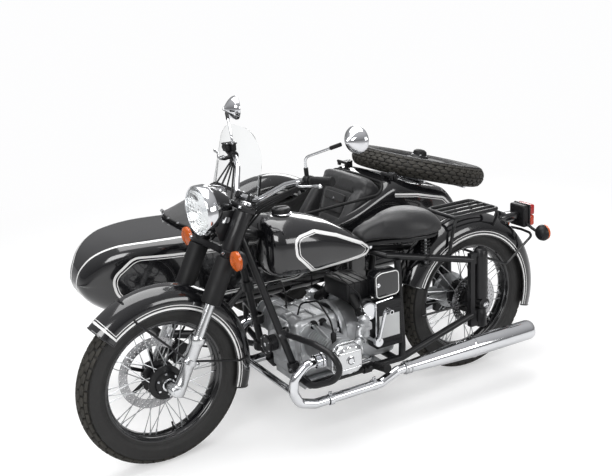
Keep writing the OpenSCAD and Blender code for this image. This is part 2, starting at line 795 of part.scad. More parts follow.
peg_x = 640;
module foot_controls() {
    color("#202022") {
        both_sides() difference() {
            union() {
                pipe([[peg_x, rail_y, rail_z], [peg_x, rail_y + 36, rail_z + 34], [peg_x, 292, rail_z + 54]], 11);
                rod([peg_x, 246, rail_z + 47], [peg_x, 296, rail_z + 55], 17);
                rod([peg_x - 17, rail_y, rail_z], [peg_x + 17, rail_y, rail_z], 22);
            }
            rod(rail_rear, rail_front, tube_r + fit);
        }
        pipe([[gearbox_x + 186, gearbox_half + fit, 262], [gearbox_x + 186, 176, 262], [700, 190, 262],
            [790, 214, 262], [800, 244, 262]], 7);
        pipe([[battery_x[1] + 12, gearbox_half + fit, 330], [battery_x[1] + 12, 204, 336],
            [battery_x[1] - 20, 214, 470], [battery_x[1] - 16, 262, 480]], 8);
        pipe([[gearbox_x + 186, -gearbox_half - fit, 250], [gearbox_x + 186, -180, 246],
            [760, -206, 240], [800, -240, 240]], 7);
    }
}

module horn() {
    color("#1a1a1c") {
        translate([engine_x + 147 + fit, 0, engine_z]) rotate([0, 90, 0]) cylinder(r = 34, h = 34);
        translate([engine_x + 147 + 34, 0, engine_z]) rotate([0, 90, 0]) cylinder(r = 42, h = 12);
    }
}

drive_y = -106;
module final_drive() {
    color("#9a9c9f") difference() {
        union() {
            translate([0, drive_y, tyre_r]) rotate([90, 0, 0]) cylinder(r = 84, h = 34, center = true);
            rod([40, drive_y, tyre_r], [130, drive_y, tyre_r], 30);
            rod([120, drive_y, tyre_r], [gearbox_x + 20, -60, tyre_r], 14);
        }
        rotate([90, 0, 0]) translate([0, tyre_r, 0]) cylinder(r = axle_r + fit, h = 600, center = true);
        translate([gearbox_x - fit, -200, 0]) cube([400, 400, 600]);
        mirror([0, 1, 0]) {
            translate([column_x, column_y, 0]) cylinder(r = cover_r + fit, h = 1000);
            translate([0, column_y, tyre_r]) rotate([90, 0, 0])
                cylinder(r = carrier_r + fit, h = 44 + 2 * fit, center = true);
            translate([column_x - 4, column_y - 12 - fit, 0]) cube([80, 60, 1000]);
        }
        frame_tubes(tube_r + fit);
    }
}

// ---- Sidecar ---------------------------------------------------------------------------------

near_rail = -tub_y + 215;
far_rail = -tub_y - 205;
chassis_x = [-150, 1290];
outrigger_x = 620;
pivot_y = -track + 118;
module chassis_tubes(r) {
    for (y = [near_rail, far_rail])
        rod([chassis_x[0], y, chassis_z], [chassis_x[1] - 120, y, chassis_z], r);
    pipe([[chassis_x[1] - 120, near_rail, chassis_z], [chassis_x[1], near_rail - 90, chassis_z + 4],
        [chassis_x[1], far_rail + 90, chassis_z + 4], [chassis_x[1] - 120, far_rail, chassis_z]], r);
    for (x = [chassis_x[0], 420]) rod([x, near_rail, chassis_z], [x, far_rail, chassis_z], r);
    rod([outrigger_x, near_rail, chassis_z], [outrigger_x, pivot_y, chassis_z], r);
    for (x = [chassis_x[0], chassis_x[1] - 120], y = [near_rail, far_rail])
        translate([x, y, chassis_z]) sphere(r = r + fit);
}

pad_x = [-60, 260, 1010];
module sidecar_frame() {
    color("#0f0f11") {
        chassis_tubes(chassis_r);
        for (x = pad_x, y = [near_rail, far_rail]) translate([x, y, chassis_z])
            cylinder(r = 24, h = tub_floor - chassis_z - fit);
        translate([outrigger_x, pivot_y, chassis_z]) rotate([90, 0, 0])
            cylinder(r = 26, h = 40, center = true);
        pipe([[250, far_rail, chassis_z], [250, far_rail - 90, chassis_z + 60],
            [250, far_rail - 110, 640]], 14);
    }
}

// Struts from the motorcycle to the sidecar, [tube top, tube foot, share along it, x on the
// sidecar rail, height where it dips under the exhaust or 0]
strut_r = 13;
struts = [[down_top, down_foot, 0.46, 1084, 0], [down_foot, rail_front, 0.75, 925, 0],
    [post_top, post_foot, 0.30, 360, 0], [rail_front, rail_rear, 0.90, 501, 158]];
module sidecar_struts() {
    color("#0f0f11") difference() {
        for (s = struts) {
            a = flip(s[0]);
            b = flip(s[1]);
            p = a + s[2] * (b - a);
            q = [s[3], near_rail, chassis_z];
            pipe(s[4] > 0 ? [p, [p.x, p.y - 70, s[4]], [q.x, q.y + 100, s[4]], q] : [p, q], strut_r);
            ring(a, b, s[2], tube_r + 10, 44);
            rod([s[3] - 22, near_rail, chassis_z], [s[3] + 22, near_rail, chassis_z], chassis_r + 9);
        }
        frame_tubes(tube_r + fit);
        chassis_tubes(chassis_r + fit);
    }
}

axle_out = -track - 74;
module sidecar_suspension() {
    color("#17171a") {
        difference() {
            union() {
                rod([outrigger_x + 6, pivot_y - 20 - fit, chassis_z], [outrigger_x + 6, pivot_y - 50, chassis_z], 26);
                pipe([[outrigger_x, pivot_y - 36, chassis_z], [wheel_lead, pivot_y - 36, tyre_r]], 15);
                rod([wheel_lead, pivot_y - 22, tyre_r], [wheel_lead, pivot_y - 48, tyre_r], 27);
                rod([wheel_lead, pivot_y - 30, tyre_r], [wheel_lead, axle_out + 10, tyre_r], axle_r);
                rod([wheel_lead, axle_out + 12, tyre_r], [wheel_lead, axle_out, tyre_r], 17);
                rod([wheel_lead - 60, pivot_y - 12, tyre_r + 20], [250 + 10, far_rail - 132, 620], 13);
                rod([wheel_lead - 40, pivot_y - 10, tyre_r + 60], [270, far_rail - 130, 560], 22);
                rod([wheel_lead, pivot_y - 30, tyre_r], [wheel_lead - 60, pivot_y - 12, tyre_r + 20], 14);
            }
            pipe([[250, far_rail, chassis_z], [250, far_rail - 90, chassis_z + 60],
                [250, far_rail - 110, 640]], 14 + fit);
        }
    }
}

// Side outline of the sidecar body, [x, height, corner radius], from the heel round the nose
tub_side = [[-330, tub_floor, 60], [1230, tub_floor, 160], [1520, 450, 90], [1602, 560, 60],
    [1596, 672, 50], [1500, deck_z - 4, 90], [1130, deck_z, 0], [800, 727, 120], [500, 702, 160],
    [300, 742, 120], [150, 812, 60], [86, 836, 20], [-214, 752, 60], [-302, 690, 60], [-372, 540, 60],
    [-372, 440, 40]];
tub_half = tub_w / 2;
// Plan outline of half of the body, [x, half width, corner radius]
tub_plan = [[-372, tub_half - 44, 70], [-150, tub_half, 200], [1130, tub_half, 300],
    [1460, tub_half - 80, 160], [1602, 110, 70]];

module tub_form(inset) {
    intersection() {
        translate([0, -tub_y + tub_half + 1, 0]) rotate([90, 0, 0]) linear_extrude(tub_w + 2)
            offset(delta = -inset) polygon(rounded(tub_side));
        linear_extrude(1000) offset(delta = -inset) polygon(rounded(concat(
            [for (p = tub_plan) [p[0], -tub_y + p[1], p[2]]],
            [for (i = [len(tub_plan) - 1 : -1 : 0]) [tub_plan[i][0], -tub_y - tub_plan[i][1], tub_plan[i][2]]])));
        rotate([90, 0, 90]) translate([0, 0, -500]) linear_extrude(2200) offset(delta = -inset)
            polygon(rounded([[-tub_y - tub_half + 34, tub_floor, 40], [-tub_y + tub_half - 34, tub_floor, 40],
                [-tub_y + tub_half, 560, 180], [-tub_y + tub_half - 20, 900, 0],
                [-tub_y - tub_half + 20, 900, 0], [-tub_y - tub_half, 560, 180]]));
    }
}

cockpit_x = [128, 1080];
bulkhead = [98, 110];
lid_side = 42;
lid_x = 74;
lid_z = 566;
// The part of the body's top that opens, less a gap all round
module lid_region(gap) {
    translate([-500, -tub_y - tub_half + lid_side + gap, lid_z + gap])
        cube([500 + lid_x - gap, tub_w - 2 * lid_side - 2 * gap, 500]);
}

hinge = [88, -tub_y, 849];
hinge_r = 7;
hinge_y = 197;
hinge_half = 22;
module sidecar_tub() {
    color("#0c0c0e") difference() {
        union() {
            tub_form(0);
            for (side = [-1, 1]) translate([hinge.x, hinge.y + side * hinge_y, 0]) {
                translate([-6, side * (hinge_half + fit), hinge.z - 24])
                    cube_between([0, 0, 0], [12, side * 2 * hinge_half, 24]);
                translate([0, side * (hinge_half + fit), hinge.z]) rotate([-side * 90, 0, 0])
                    cylinder(r = hinge_r, h = 2 * hinge_half);
            }
        }
        difference() {
            tub_form(wall);
            translate([bulkhead[0], -tub_y - tub_half, 0])
                cube([bulkhead[1] - bulkhead[0], tub_w, 900]);
        }
        translate([0, -tub_y, tub_floor + 150]) linear_extrude(500) polygon(rounded([
            [cockpit_x[0], -tub_half + 40, 60], [cockpit_x[1] - 60, -tub_half + 44, 120],
            [cockpit_x[1], -60, 80], [cockpit_x[1], 60, 80],
            [cockpit_x[1] - 60, tub_half - 44, 120], [cockpit_x[0], tub_half - 40, 60]]));
        lid_region(0);
    }
}

module trunk_lid() {
    color("#0c0c0e") {
        intersection() {
            difference() {
                tub_form(0);
                tub_form(wall);
            }
            lid_region(run);
        }
        for (side = [-1, 1]) translate([hinge.x, hinge.y + side * hinge_y, hinge.z]) {
            rotate([90, 0, 0]) cylinder(r = hinge_r, h = 2 * hinge_half, center = true);
            translate([-52, -hinge_half, -4]) cube([52, 2 * hinge_half, 9]);
            translate([-52, -hinge_half, -28]) cube([26, 2 * hinge_half, 28]);
        }
    }
}

// The spare wheel's own frame: Z square to the lid
module spare_frame() {
    translate(spare_mid) rotate([0, -spare_tilt, 0]) children();
}

module spare_carrier() {
    color("#cfd2d6") spare_frame() translate([0, 0, -tyre_w / 2 - spare_lift]) {
        for (x = [-150, 110]) translate([x, 0, spare_lift / 2]) rotate([90, 0, 0])
            cylinder(r = spare_lift / 2 - fit, h = 440, center = true);
        translate([-150, -40, 1]) cube([260, 12, spare_lift - 8]);
        translate([-150, 28, 1]) cube([260, 12, spare_lift - 8]);
        translate([-40, -40, 1]) cube([80, 80, spare_lift + tyre_w / 2 - hub_half - 1 - fit]);
        cylinder(r = axle_r, h = spare_lift + tyre_w / 2 + hub_half + 14);
        translate([0, 0, spare_lift + tyre_w / 2 + hub_half + fit]) cylinder(r = 26, h = 12);
    }
}

module spare_tyre() {
    color("#17150f") spare_frame() rotate([90, 0, 0]) tyre();
}

module spare_wheel() {
    color("silver") spare_frame() rotate([90, 0, 0]) spoked_wheel();
}

seat_half = 188;
seat_base = tub_floor + wall + fit;
module sidecar_seat() {
    color("#18181a") translate([0, -tub_y + seat_half, 0]) rotate([90, 0, 0]) {
        linear_extrude(2 * seat_half) polygon([[bulkhead[1] + fit, 700], [bulkhead[1] + fit, 784],
            [130, 800], [134, 822], [196, 806], [340, 520], [310, 436], [200, 436]]);
        linear_extrude(2 * seat_half) polygon([[314, seat_base], [650, seat_base], [664, 440],
            [640, 494], [341, 512], [314, 437]]);
    }
}

screen_half = 238;
screen_foot = [1132, deck_z + fit];
screen_fold = [866, 886];
screen_top = [776, 1150];
sheet_t = 5;
module sidecar_apron() {
    up = unit(screen_fold - screen_foot);
    across = [up.y, -up.x] * sheet_t;
    color("#131315") translate([0, -tub_y, 0]) rotate([90, 0, 0]) {
        translate([0, 0, -screen_half]) linear_extrude(2 * screen_half)
            polygon([screen_foot, screen_fold, screen_fold + across, screen_foot + across]);
        for (z = [-screen_half, screen_half - sheet_t]) translate([0, 0, z]) linear_extrude(sheet_t)
            polygon([screen_foot, screen_fold, [840, 880], [850, rim_top(850) + fit]]);
    }
}

// Height of the body's side rim at a distance ahead of the rear axle
function rim_top(x) = 727 + (x - 800) * (deck_z - 727) / 330;

module sidecar_screen() {
    lean = atan2(screen_fold.x - screen_top.x, screen_top.y - screen_fold.y);
    tall = norm(screen_top - screen_fold);
    color("#dfe6e8") translate([screen_fold.x - 4, -tub_y, screen_fold.y + fit]) rotate([0, -lean, 0])
        rotate([90, 0, 90]) linear_extrude(sheet_t) polygon(rounded([[-screen_half + 6, 0, 0],
            [screen_half - 6, 0, 0], [screen_half - 30, tall, 80], [-screen_half + 30, tall, 80]]));
}

side_guard_r = 440;
side_guard_half = 76;
module sidecar_mudguard() {
    color("#101012") difference() {
        union() {
            translate(side_axle) guard(side_guard_r, side_guard_half, 100, 6, 168);
            rod([250, far_rail - 112, 632], [250, -track + side_guard_half - 4, 690], 10);
            rod([outrigger_x + 26, pivot_y, chassis_z + 10],
                [wheel_lead + 370, -track + side_guard_half - 2, 420], 9);
            translate([outrigger_x, pivot_y, chassis_z]) rotate([90, 0, 0]) cylinder(r = 38, h = 16, center = true);
        }
        translate([outrigger_x, pivot_y, chassis_z]) rotate([90, 0, 0]) cylinder(r = 26 + fit, h = 200, center = true);
        rod([250, far_rail - 90, chassis_z + 60], [250, far_rail - 110, 640.3], 14 + fit);
    }
}

// Draws a node with the middle of the footprint at the origin
module place() {
    translate(-origin) children();
}

place() frame();
place() suspension_columns();
place() engine_block();
place() cylinders();
place() valve_covers();
place() carburettors();
place() air_box();
place() battery_box();
place() side_covers();
place() fuel_tank();
place() fuel_cap();
place() rider_saddle();
place() saddle_pan();
place() rear_mudguard();
place() rear_rack();
place() rear_lights();
place() exhaust_headers();
place() mufflers();
place() crash_bars();
place() foot_controls();
place() horn();
place() final_drive();
place() sidecar_frame();
place() sidecar_struts();
place() sidecar_suspension();
place() sidecar_tub();
place() sidecar_seat();
place() sidecar_apron();
place() sidecar_screen();
place() sidecar_mudguard();
place() trunk_lid();
place() spare_carrier();
place() spare_tyre();
place() spare_wheel();
place() fork_yokes();
place() fork_legs();
place() front_mudguard();
place() headlamp();
place() headlamp_glass();
place() handlebar();
place() grips();
place() hand_controls();
place() mirrors();
place() front_indicators();
place() brake_caliper();
place() front_tyre();
place() front_wheel();
place() rear_tyre();
place() rear_wheel();
place() sidecar_tyre();
place() sidecar_wheel();
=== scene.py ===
"""Looks of a sidecar motorcycle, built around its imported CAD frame.

Lengths are metres in the frame's axes: X forward, Y to the rider's left, Z up from the floor.
at(x, y, z) measures from the floor under the rear axle, and fork(x, y, z) from the foot of the
steering axis, with Z up that axis.
"""

import json
import math

import bmesh
import bpy
import numpy as np
from mathutils import Matrix, Vector
from mathutils.bvhtree import BVHTree

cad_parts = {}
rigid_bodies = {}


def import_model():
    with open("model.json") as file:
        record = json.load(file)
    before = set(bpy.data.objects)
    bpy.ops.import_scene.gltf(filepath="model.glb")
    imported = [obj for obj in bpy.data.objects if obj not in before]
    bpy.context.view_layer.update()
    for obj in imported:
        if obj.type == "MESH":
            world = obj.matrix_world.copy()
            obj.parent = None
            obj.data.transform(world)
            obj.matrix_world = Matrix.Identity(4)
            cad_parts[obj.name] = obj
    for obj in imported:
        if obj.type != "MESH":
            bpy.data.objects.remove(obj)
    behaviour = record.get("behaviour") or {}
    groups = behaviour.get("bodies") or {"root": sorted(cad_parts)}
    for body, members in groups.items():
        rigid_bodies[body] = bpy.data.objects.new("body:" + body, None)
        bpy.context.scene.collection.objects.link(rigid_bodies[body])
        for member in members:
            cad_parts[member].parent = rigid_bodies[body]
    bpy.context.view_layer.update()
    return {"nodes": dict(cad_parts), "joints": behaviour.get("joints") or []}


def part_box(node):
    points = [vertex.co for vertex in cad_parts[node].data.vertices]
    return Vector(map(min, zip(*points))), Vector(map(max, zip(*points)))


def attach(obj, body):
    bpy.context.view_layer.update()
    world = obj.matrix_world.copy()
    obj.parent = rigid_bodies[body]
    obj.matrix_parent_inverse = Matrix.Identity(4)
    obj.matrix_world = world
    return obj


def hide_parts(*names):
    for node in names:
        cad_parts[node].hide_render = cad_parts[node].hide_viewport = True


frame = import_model()

# ---- Places ------------------------------------------------------------------------------

JOINTS = {j["name"]: j for j in frame["joints"]}
BODY = JOINTS["steering"]["parent"]
FORK = JOINTS["steering"]["child"]
LID = JOINTS["trunk_lid_hinge"]["child"]
REAR_AXLE = Vector(JOINTS["rear_wheel_spin"]["pos_m"])
FRONT_AXLE = Vector(JOINTS["front_wheel_spin"]["pos_m"])
SIDE_AXLE = Vector(JOINTS["sidecar_wheel_spin"]["pos_m"])
BASE = Vector((REAR_AXLE.x, REAR_AXLE.y, 0))
FOOT = Vector(JOINTS["steering"]["pos_m"])
UP_FORK = Vector(JOINTS["steering"]["axis"]).normalized()
LEFT_FORK = Vector(JOINTS["front_wheel_spin"]["axis"]).normalized()
AHEAD_FORK = LEFT_FORK.cross(UP_FORK).normalized()
STEER_REST = math.acos(LEFT_FORK.y)


def basis(x, y, z, origin):
    """The matrix whose axes are x, y and z, at origin."""
    return Matrix.Translation(origin) @ Matrix((x, y, z)).transposed().to_4x4()


FORK_FRAME = basis(AHEAD_FORK, LEFT_FORK, UP_FORK, FOOT)
FRONT_WHEEL = basis(AHEAD_FORK, LEFT_FORK, UP_FORK, FRONT_AXLE)
REAR_WHEEL = Matrix.Translation(REAR_AXLE)
SIDE_WHEEL = Matrix.Translation(SIDE_AXLE)
TURN = Matrix.Translation(FOOT) @ Matrix.Rotation(STEER_REST, 4, UP_FORK) @ Matrix.Translation(-FOOT)
LID_TILT = math.atan2(0.084, 0.300)
ALONG_LID = Vector((math.cos(LID_TILT), 0, math.sin(LID_TILT)))
OFF_LID = Vector((-math.sin(LID_TILT), 0, math.cos(LID_TILT)))
spare_low, spare_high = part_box("spare_tyre")
SPARE_WHEEL = basis(ALONG_LID, OFF_LID, ALONG_LID.cross(OFF_LID), (spare_low + spare_high) / 2)


def at(x, y, z):
    return BASE + Vector((x, y, z))


def fork(x, y, z):
    return FORK_FRAME @ Vector((x, y, z))


def turned(x, y, z):
    """Where at(x, y, z) goes on the fork, which stands turned a little to the left."""
    return TURN @ at(x, y, z)


def shift(x, y, z):
    """The matrix of a shift."""
    return Matrix.Translation((x, y, z))


def stood(x, y, z):
    """The matrix that puts a shape at at(x, y, z)."""
    return Matrix.Translation(at(x, y, z))


GROUND = stood(0, 0, 0)
UPRIGHT = Matrix.Rotation(math.radians(-90), 4, "X")  # stands a lathe's Z along the axle
ON_EDGE = Matrix.Rotation(math.radians(90), 4, "X")  # stands an outline of (x, y) up, with its y along Z
AHEAD = Matrix.Rotation(math.radians(90), 4, "Y")  # stands a lathe's Z along X


def outward(way):
    """Stands a shape's Z along the axle, towards the left for way 1 and the right for -1."""
    return UPRIGHT if way > 0 else ON_EDGE


def flip(p):
    """The same point on the other side of the motorcycle."""
    return Vector((p[0], 2 * BASE.y - p[1], p[2]))


PAINT = 0.0006  # how far a painted line stands off what it is painted on

# ---- Materials ---------------------------------------------------------------------------


def material(name, colour, roughness, metallic=0.0, coat=0.0, spread=0.12, patch=9, wear=0.0, grain=(), **extra):
    """A Principled material whose colour and roughness vary in patches, with bump from grain:
    rows of (texture, scale, depth in metres)."""
    made = bpy.data.materials.new(name)
    made.use_nodes = True
    nodes, links = made.node_tree.nodes, made.node_tree.links
    shader = nodes["Principled BSDF"]
    place = nodes.new("ShaderNodeTexCoord").outputs["Object"]

    def texture(kind, scale):
        node = nodes.new({"noise": "ShaderNodeTexNoise", "cells": "ShaderNodeTexVoronoi",
                          "waves": "ShaderNodeTexWave"}[kind])
        node.inputs["Scale"].default_value = scale
        links.new(place, node.inputs["Vector"])
        return node.outputs["Distance" if kind == "cells" else "Fac"]

    patches = texture("noise", patch)
    ramp = nodes.new("ShaderNodeValToRGB")
    for stop, share in zip(ramp.color_ramp.elements, (1 - spread, 1 + spread)):
        stop.color = [min(1, c * share) for c in colour] + [1]
    ramp.color_ramp.elements[0].position = 0.3
    ramp.color_ramp.elements[1].position = 0.7
    links.new(patches, ramp.inputs["Fac"])
    shade = ramp.outputs["Color"]
    if wear:
        edge = nodes.new("ShaderNodeValToRGB")
        edge.color_ramp.elements[0].position = 0.5
        edge.color_ramp.elements[1].position = 0.62
        links.new(nodes.new("ShaderNodeNewGeometry").outputs["Pointiness"], edge.inputs["Fac"])
        mix = nodes.new("ShaderNodeMix")
        mix.data_type = "RGBA"
        mix.blend_type = "ADD"
        mix.inputs[7].default_value = [wear] * 3 + [1]
        links.new(edge.outputs["Color"], mix.inputs[0])
        links.new(shade, mix.inputs[6])
        shade = mix.outputs[2]
    links.new(shade, shader.inputs["Base Color"])
    rough = nodes.new("ShaderNodeMapRange")
    rough.inputs["To Min"].default_value = roughness * 0.8
    rough.inputs["To Max"].default_value = min(1, roughness * 1.25)
    links.new(texture("noise", patch * 4), rough.inputs["Value"])
    links.new(rough.outputs["Result"], shader.inputs["Roughness"])
    shader.inputs["Metallic"].default_value = metallic
    shader.inputs["Coat Weight"].default_value = coat
    shader.inputs["Coat Roughness"].default_value = 0.03
    for socket, value in extra.items():
        shader.inputs[socket.replace("_", " ")].default_value = value
    normal = None
    for kind, scale, depth in grain:
        bump = nodes.new("ShaderNodeBump")
        bump.inputs["Distance"].default_value = depth
        links.new(texture(kind, scale), bump.inputs["Height"])
        if normal:
            links.new(normal, bump.inputs["Normal"])
        normal = bump.outputs["Normal"]
    if normal:
        links.new(normal, shader.inputs["Normal"])
    return made


GLOSS = material("gloss_paint", (0.0055, 0.0055, 0.0065), 0.16, coat=1.0, grain=[("noise", 130, 0.00002)])
SATIN = material("satin_paint", (0.008, 0.008, 0.009), 0.34, coat=0.15, wear=0.006, grain=[("noise", 420, 0.00005)],
                 Specular_IOR_Level=0.3)
WHITE = material("stripe_paint", (0.86, 0.86, 0.85), 0.22, coat=0.6, spread=0.03, grain=[("noise", 200, 0.00002)])
CHROME = material("chrome_plate", (0.83, 0.84, 0.86), 0.07, 1.0, spread=0.03, grain=[("noise", 90, 0.00002)])
POLISHED = material("polished_alloy", (0.74, 0.75, 0.76), 0.2, 1.0, spread=0.05, grain=[("noise", 260, 0.00004)])
CAST = material("cast_alloy", (0.46, 0.47, 0.48), 0.42, 0.85, spread=0.18, patch=14, wear=0.12,
                grain=[("noise", 700, 0.00022), ("noise", 60, 0.0003)])
STEEL = material("zinc_steel", (0.55, 0.56, 0.57), 0.3, 1.0, grain=[("noise", 400, 0.00004)])
DISC = material("ground_steel", (0.52, 0.52, 0.53), 0.26, 1.0,
                grain=[("waves", 90, 0.00004), ("noise", 500, 0.00003)])
TYRE = material("tyre_sidewall", (0.014, 0.0135, 0.013), 0.58, patch=20, grain=[("noise", 500, 0.00015)])
# The tread's brown tint, lighter than the sidewall, is painted warm bounce light.
TREAD = material("tyre_tread_warm_bounce", (0.030, 0.0275, 0.0225), 0.70, spread=0.3, patch=26,
                 grain=[("noise", 300, 0.0004), ("cells", 160, 0.0002)])
RUBBER = material("black_rubber", (0.009, 0.009, 0.0095), 0.5, grain=[("noise", 600, 0.00012)],
                  Specular_IOR_Level=0.25)
PLASTIC = material("moulded_plastic", (0.010, 0.010, 0.011), 0.4, grain=[("cells", 900, 0.0001)],
                   Specular_IOR_Level=0.3)
SADDLE = material("saddle_vinyl", (0.008, 0.008, 0.009), 0.4, grain=[("cells", 520, 0.00028), ("noise", 35, 0.0006)],
                  Sheen_Weight=0.15)
VINYL = material("seat_vinyl", (0.010, 0.010, 0.011), 0.46, grain=[("cells", 430, 0.0003), ("noise", 26, 0.0012)],
                 Sheen_Weight=0.2)
HOOD = material("hood_cloth", (0.022, 0.022, 0.023), 0.5, grain=[("waves", 420, 0.0001), ("noise", 22, 0.0016)],
                Sheen_Weight=0.3)
CARPET = material("cabin_lining", (0.012, 0.012, 0.012), 0.9, grain=[("noise", 900, 0.0006)], Sheen_Weight=0.4)
LABEL = material("blank_label", (0.55, 0.56, 0.56), 0.45, spread=0.05, grain=[("noise", 200, 0.00003)])
MIRROR = material("mirror_glass", (0.9, 0.91, 0.92), 0.02, 1.0, spread=0.01, grain=[("noise", 30, 0.000005)])
CLEAR = material("clear_screen", (0.97, 0.98, 0.98), 0.02, spread=0.01, grain=[("noise", 12, 0.00002)],
                 Transmission_Weight=1.0, IOR=1.2)
FLUTED = material("lamp_glass", (0.96, 0.97, 0.97), 0.03, spread=0.01, grain=[("cells", 60, 0.0008)],
                  Transmission_Weight=1.0, IOR=1.45)
AMBER = material("amber_lens", (0.86, 0.16, 0.012), 0.12, coat=0.6, grain=[("cells", 190, 0.0007)],
                 Transmission_Weight=0.35)
RED = material("red_lens", (0.55, 0.012, 0.012), 0.12, coat=0.6, grain=[("cells", 210, 0.0006)],
               Transmission_Weight=0.3)
ORANGE = material("lower_lens", (0.8, 0.07, 0.015), 0.12, coat=0.6, grain=[("cells", 210, 0.0006)],
                  Transmission_Weight=0.3)

# ---- Shapes: each returns (points, faces) ------------------------------------------------


def lathe(profile, steps=48):
    """The profile's (radius, height) rows turned round Z."""
    points, rings = [], []
    for r, z in profile:
        if r < 1e-6:
            rings.append([len(points)] * steps)
            points.append((0, 0, z))
        else:
            rings.append(range(len(points), len(points) + steps))
            points += [(r * math.cos(2 * math.pi * i / steps), r * math.sin(2 * math.pi * i / steps), z)
                       for i in range(steps)]
    faces = []
    for a, b in zip(rings, rings[1:]):
        for i in range(steps):
            j = (i + 1) % steps
            face = list(dict.fromkeys((a[i], a[j], b[j], b[i])))
            if len(face) > 2:
                faces.append(face)
    return points, faces


def bend(points, radius, steps=6):
    """A row of points with each inner corner rounded to about the radius."""
    points = [Vector(p) for p in points]
    path = [points[0]]
    for a, b, c in zip(points, points[1:], points[2:]):
        u, w = (a - b), (c - b)
        half = u.angle(w) / 2
        reach = min(radius / max(math.tan(half), 1e-3), 0.48 * u.length, 0.48 * w.length)
        start, end = b + u.normalized() * reach, b + w.normalized() * reach
        for i in range(steps + 1):
            t = i / steps
            path.append(start * (1 - t) ** 2 + b * 2 * t * (1 - t) + end * t ** 2)
    return path + [points[-1]]


def tube(path, radius, steps=12, closed=False):
    """A round bar along a path. The radius is a number, or a function of the share along the path."""
    path = [Vector(p) for i, p in enumerate(path) if not i or (Vector(p) - Vector(path[i - 1])).length > 1e-6]
    count = len(path)
    thick = radius if callable(radius) else lambda t: radius
    ways = []
    for i in range(count):
        before = path[(i - 1) % count] if closed or i else path[0]
        after = path[(i + 1) % count] if closed or i < count - 1 else path[-1]
        ways.append((after - before).normalized())
    side = ways[0].orthogonal().normalized()
    points = []
    for i, (p, way) in enumerate(zip(path, ways)):
        side = (side - way * side.dot(way)).normalized()
        other = way.cross(side)
        r = thick(i / (count - 1))
        points += [p + (side * math.cos(a) + other * math.sin(a)) * r
                   for a in (2 * math.pi * k / steps for k in range(steps))]
    faces = []
    for i in range(count if closed else count - 1):
        a, b = i * steps, (i + 1) % count * steps
        faces += [(a + k, a + (k + 1) % steps, b + (k + 1) % steps, b + k) for k in range(steps)]
    if not closed:
        faces += [tuple(reversed(range(steps))), tuple(range((count - 1) * steps, count * steps))]
    return points, faces


def rod(a, b, radius, steps=16):
    """A straight round bar."""
    return tube([a, b], radius, steps)


def from_bmesh(bm):
    """The points and faces of a bmesh, which is then freed."""
    points, faces = [v.co.copy() for v in bm.verts], [[v.index for v in f.verts] for f in bm.faces]
    bm.free()
    return points, faces


def block(low, high, bevel=0.003, steps=2):
    """A box between two corners with its edges rounded."""
    low, high = Vector(low), Vector(high)
    bm = bmesh.new()
    bmesh.ops.create_cube(bm, size=1)
    for v in bm.verts:
        v.co = Vector([(low[i] + high[i]) / 2 + v.co[i] * abs(high[i] - low[i]) for i in range(3)])
    bmesh.ops.bevel(bm, geom=bm.edges[:], offset=bevel, segments=steps, affect="EDGES", profile=0.5)
    bm.verts.index_update()
    return from_bmesh(bm)


def plate(outline, low, high, bevel=0.002, steps=2):
    """An outline of (x, y) points extruded along Z, with its rim rounded."""
    bm = bmesh.new()
    face = bm.faces.new([bm.verts.new((x, y, low)) for x, y in outline])
    top = bmesh.ops.extrude_face_region(bm, geom=[face])["geom"]
    for v in top:
        if isinstance(v, bmesh.types.BMVert):
            v.co.z = high
    bmesh.ops.recalc_face_normals(bm, faces=bm.faces[:])
    rims = [e for e in bm.edges if abs(e.verts[0].co.z - e.verts[1].co.z) < 1e-9]
    if bevel:
        bmesh.ops.bevel(bm, geom=rims, offset=bevel, segments=steps, affect="EDGES", profile=0.5)
    bm.verts.index_update()
    return from_bmesh(bm)


def grid(rows, closed=False, capped=False):
    """Rows of points joined in quads. closed joins each row's end to its start."""
    width = len(rows[0])
    points = [p for row in rows for p in row]
    faces = []
    for i in range(len(rows) - 1):
        for k in range(width if closed else width - 1):
            j = (k + 1) % width
            faces.append((i * width + k, i * width + j, (i + 1) * width + j, (i + 1) * width + k))
    if capped:
        faces += [tuple(reversed(range(width))), tuple(range(len(points) - width, len(points)))]
    return points, faces


def drum(r, low, high, steps):
    """A flat round drum from low to high."""
    return lathe([(0, low), (r, low), (r, high), (0, high)], steps)


def bolt(r, h=0.004):
    """A six-sided head on a washer, standing up from Z 0."""
    points, faces = lathe([(0, 0), (r * 1.35, 0), (r * 1.35, 0.001), (0, 0.001)], 16)
    more, others = lathe([(r, 0.001), (r, h), (r * 0.85, h + 0.0008), (0, h + 0.0008)], 6)
    return points + more, faces + [[i + len(points) for i in f] for f in others]


def facing(place, way):
    """The matrix that stands a shape's Z along way, at place."""
    return Matrix.Translation(place) @ Vector(way).to_track_quat("Z", "Y").to_matrix().to_4x4()


def ring_of(count, radius, start=0.0):
    """Points on a circle in the XY plane."""
    return [Vector((radius * math.cos(a), radius * math.sin(a), 0))
            for a in (start + 2 * math.pi * i / count for i in range(count))]


def curve(x, rows):
    """A smooth value at x through rows of (x, value) that rise in x."""
    if x <= rows[0][0]:
        return rows[0][1]
    if x >= rows[-1][0]:
        return rows[-1][1]
    k = max(i for i in range(len(rows) - 1) if rows[i][0] <= x)
    slopes = [(b[1] - a[1]) / (b[0] - a[0]) for a, b in zip(rows, rows[1:])]

    def tangent(i):
        if i == 0 or i == len(slopes):
            return slopes[min(i, len(slopes) - 1)]
        a, b = slopes[i - 1], slopes[i]
        return 0 if a * b <= 0 else 2 * a * b / (a + b)

    (x0, y0), (x1, y1) = rows[k], rows[k + 1]
    h, t = x1 - x0, (x - x0) / (x1 - x0)
    return (y0 * (1 + 2 * t) * (1 - t) ** 2 + tangent(k) * h * t * (1 - t) ** 2
            + y1 * t * t * (3 - 2 * t) - tangent(k + 1) * h * t * t * (1 - t))


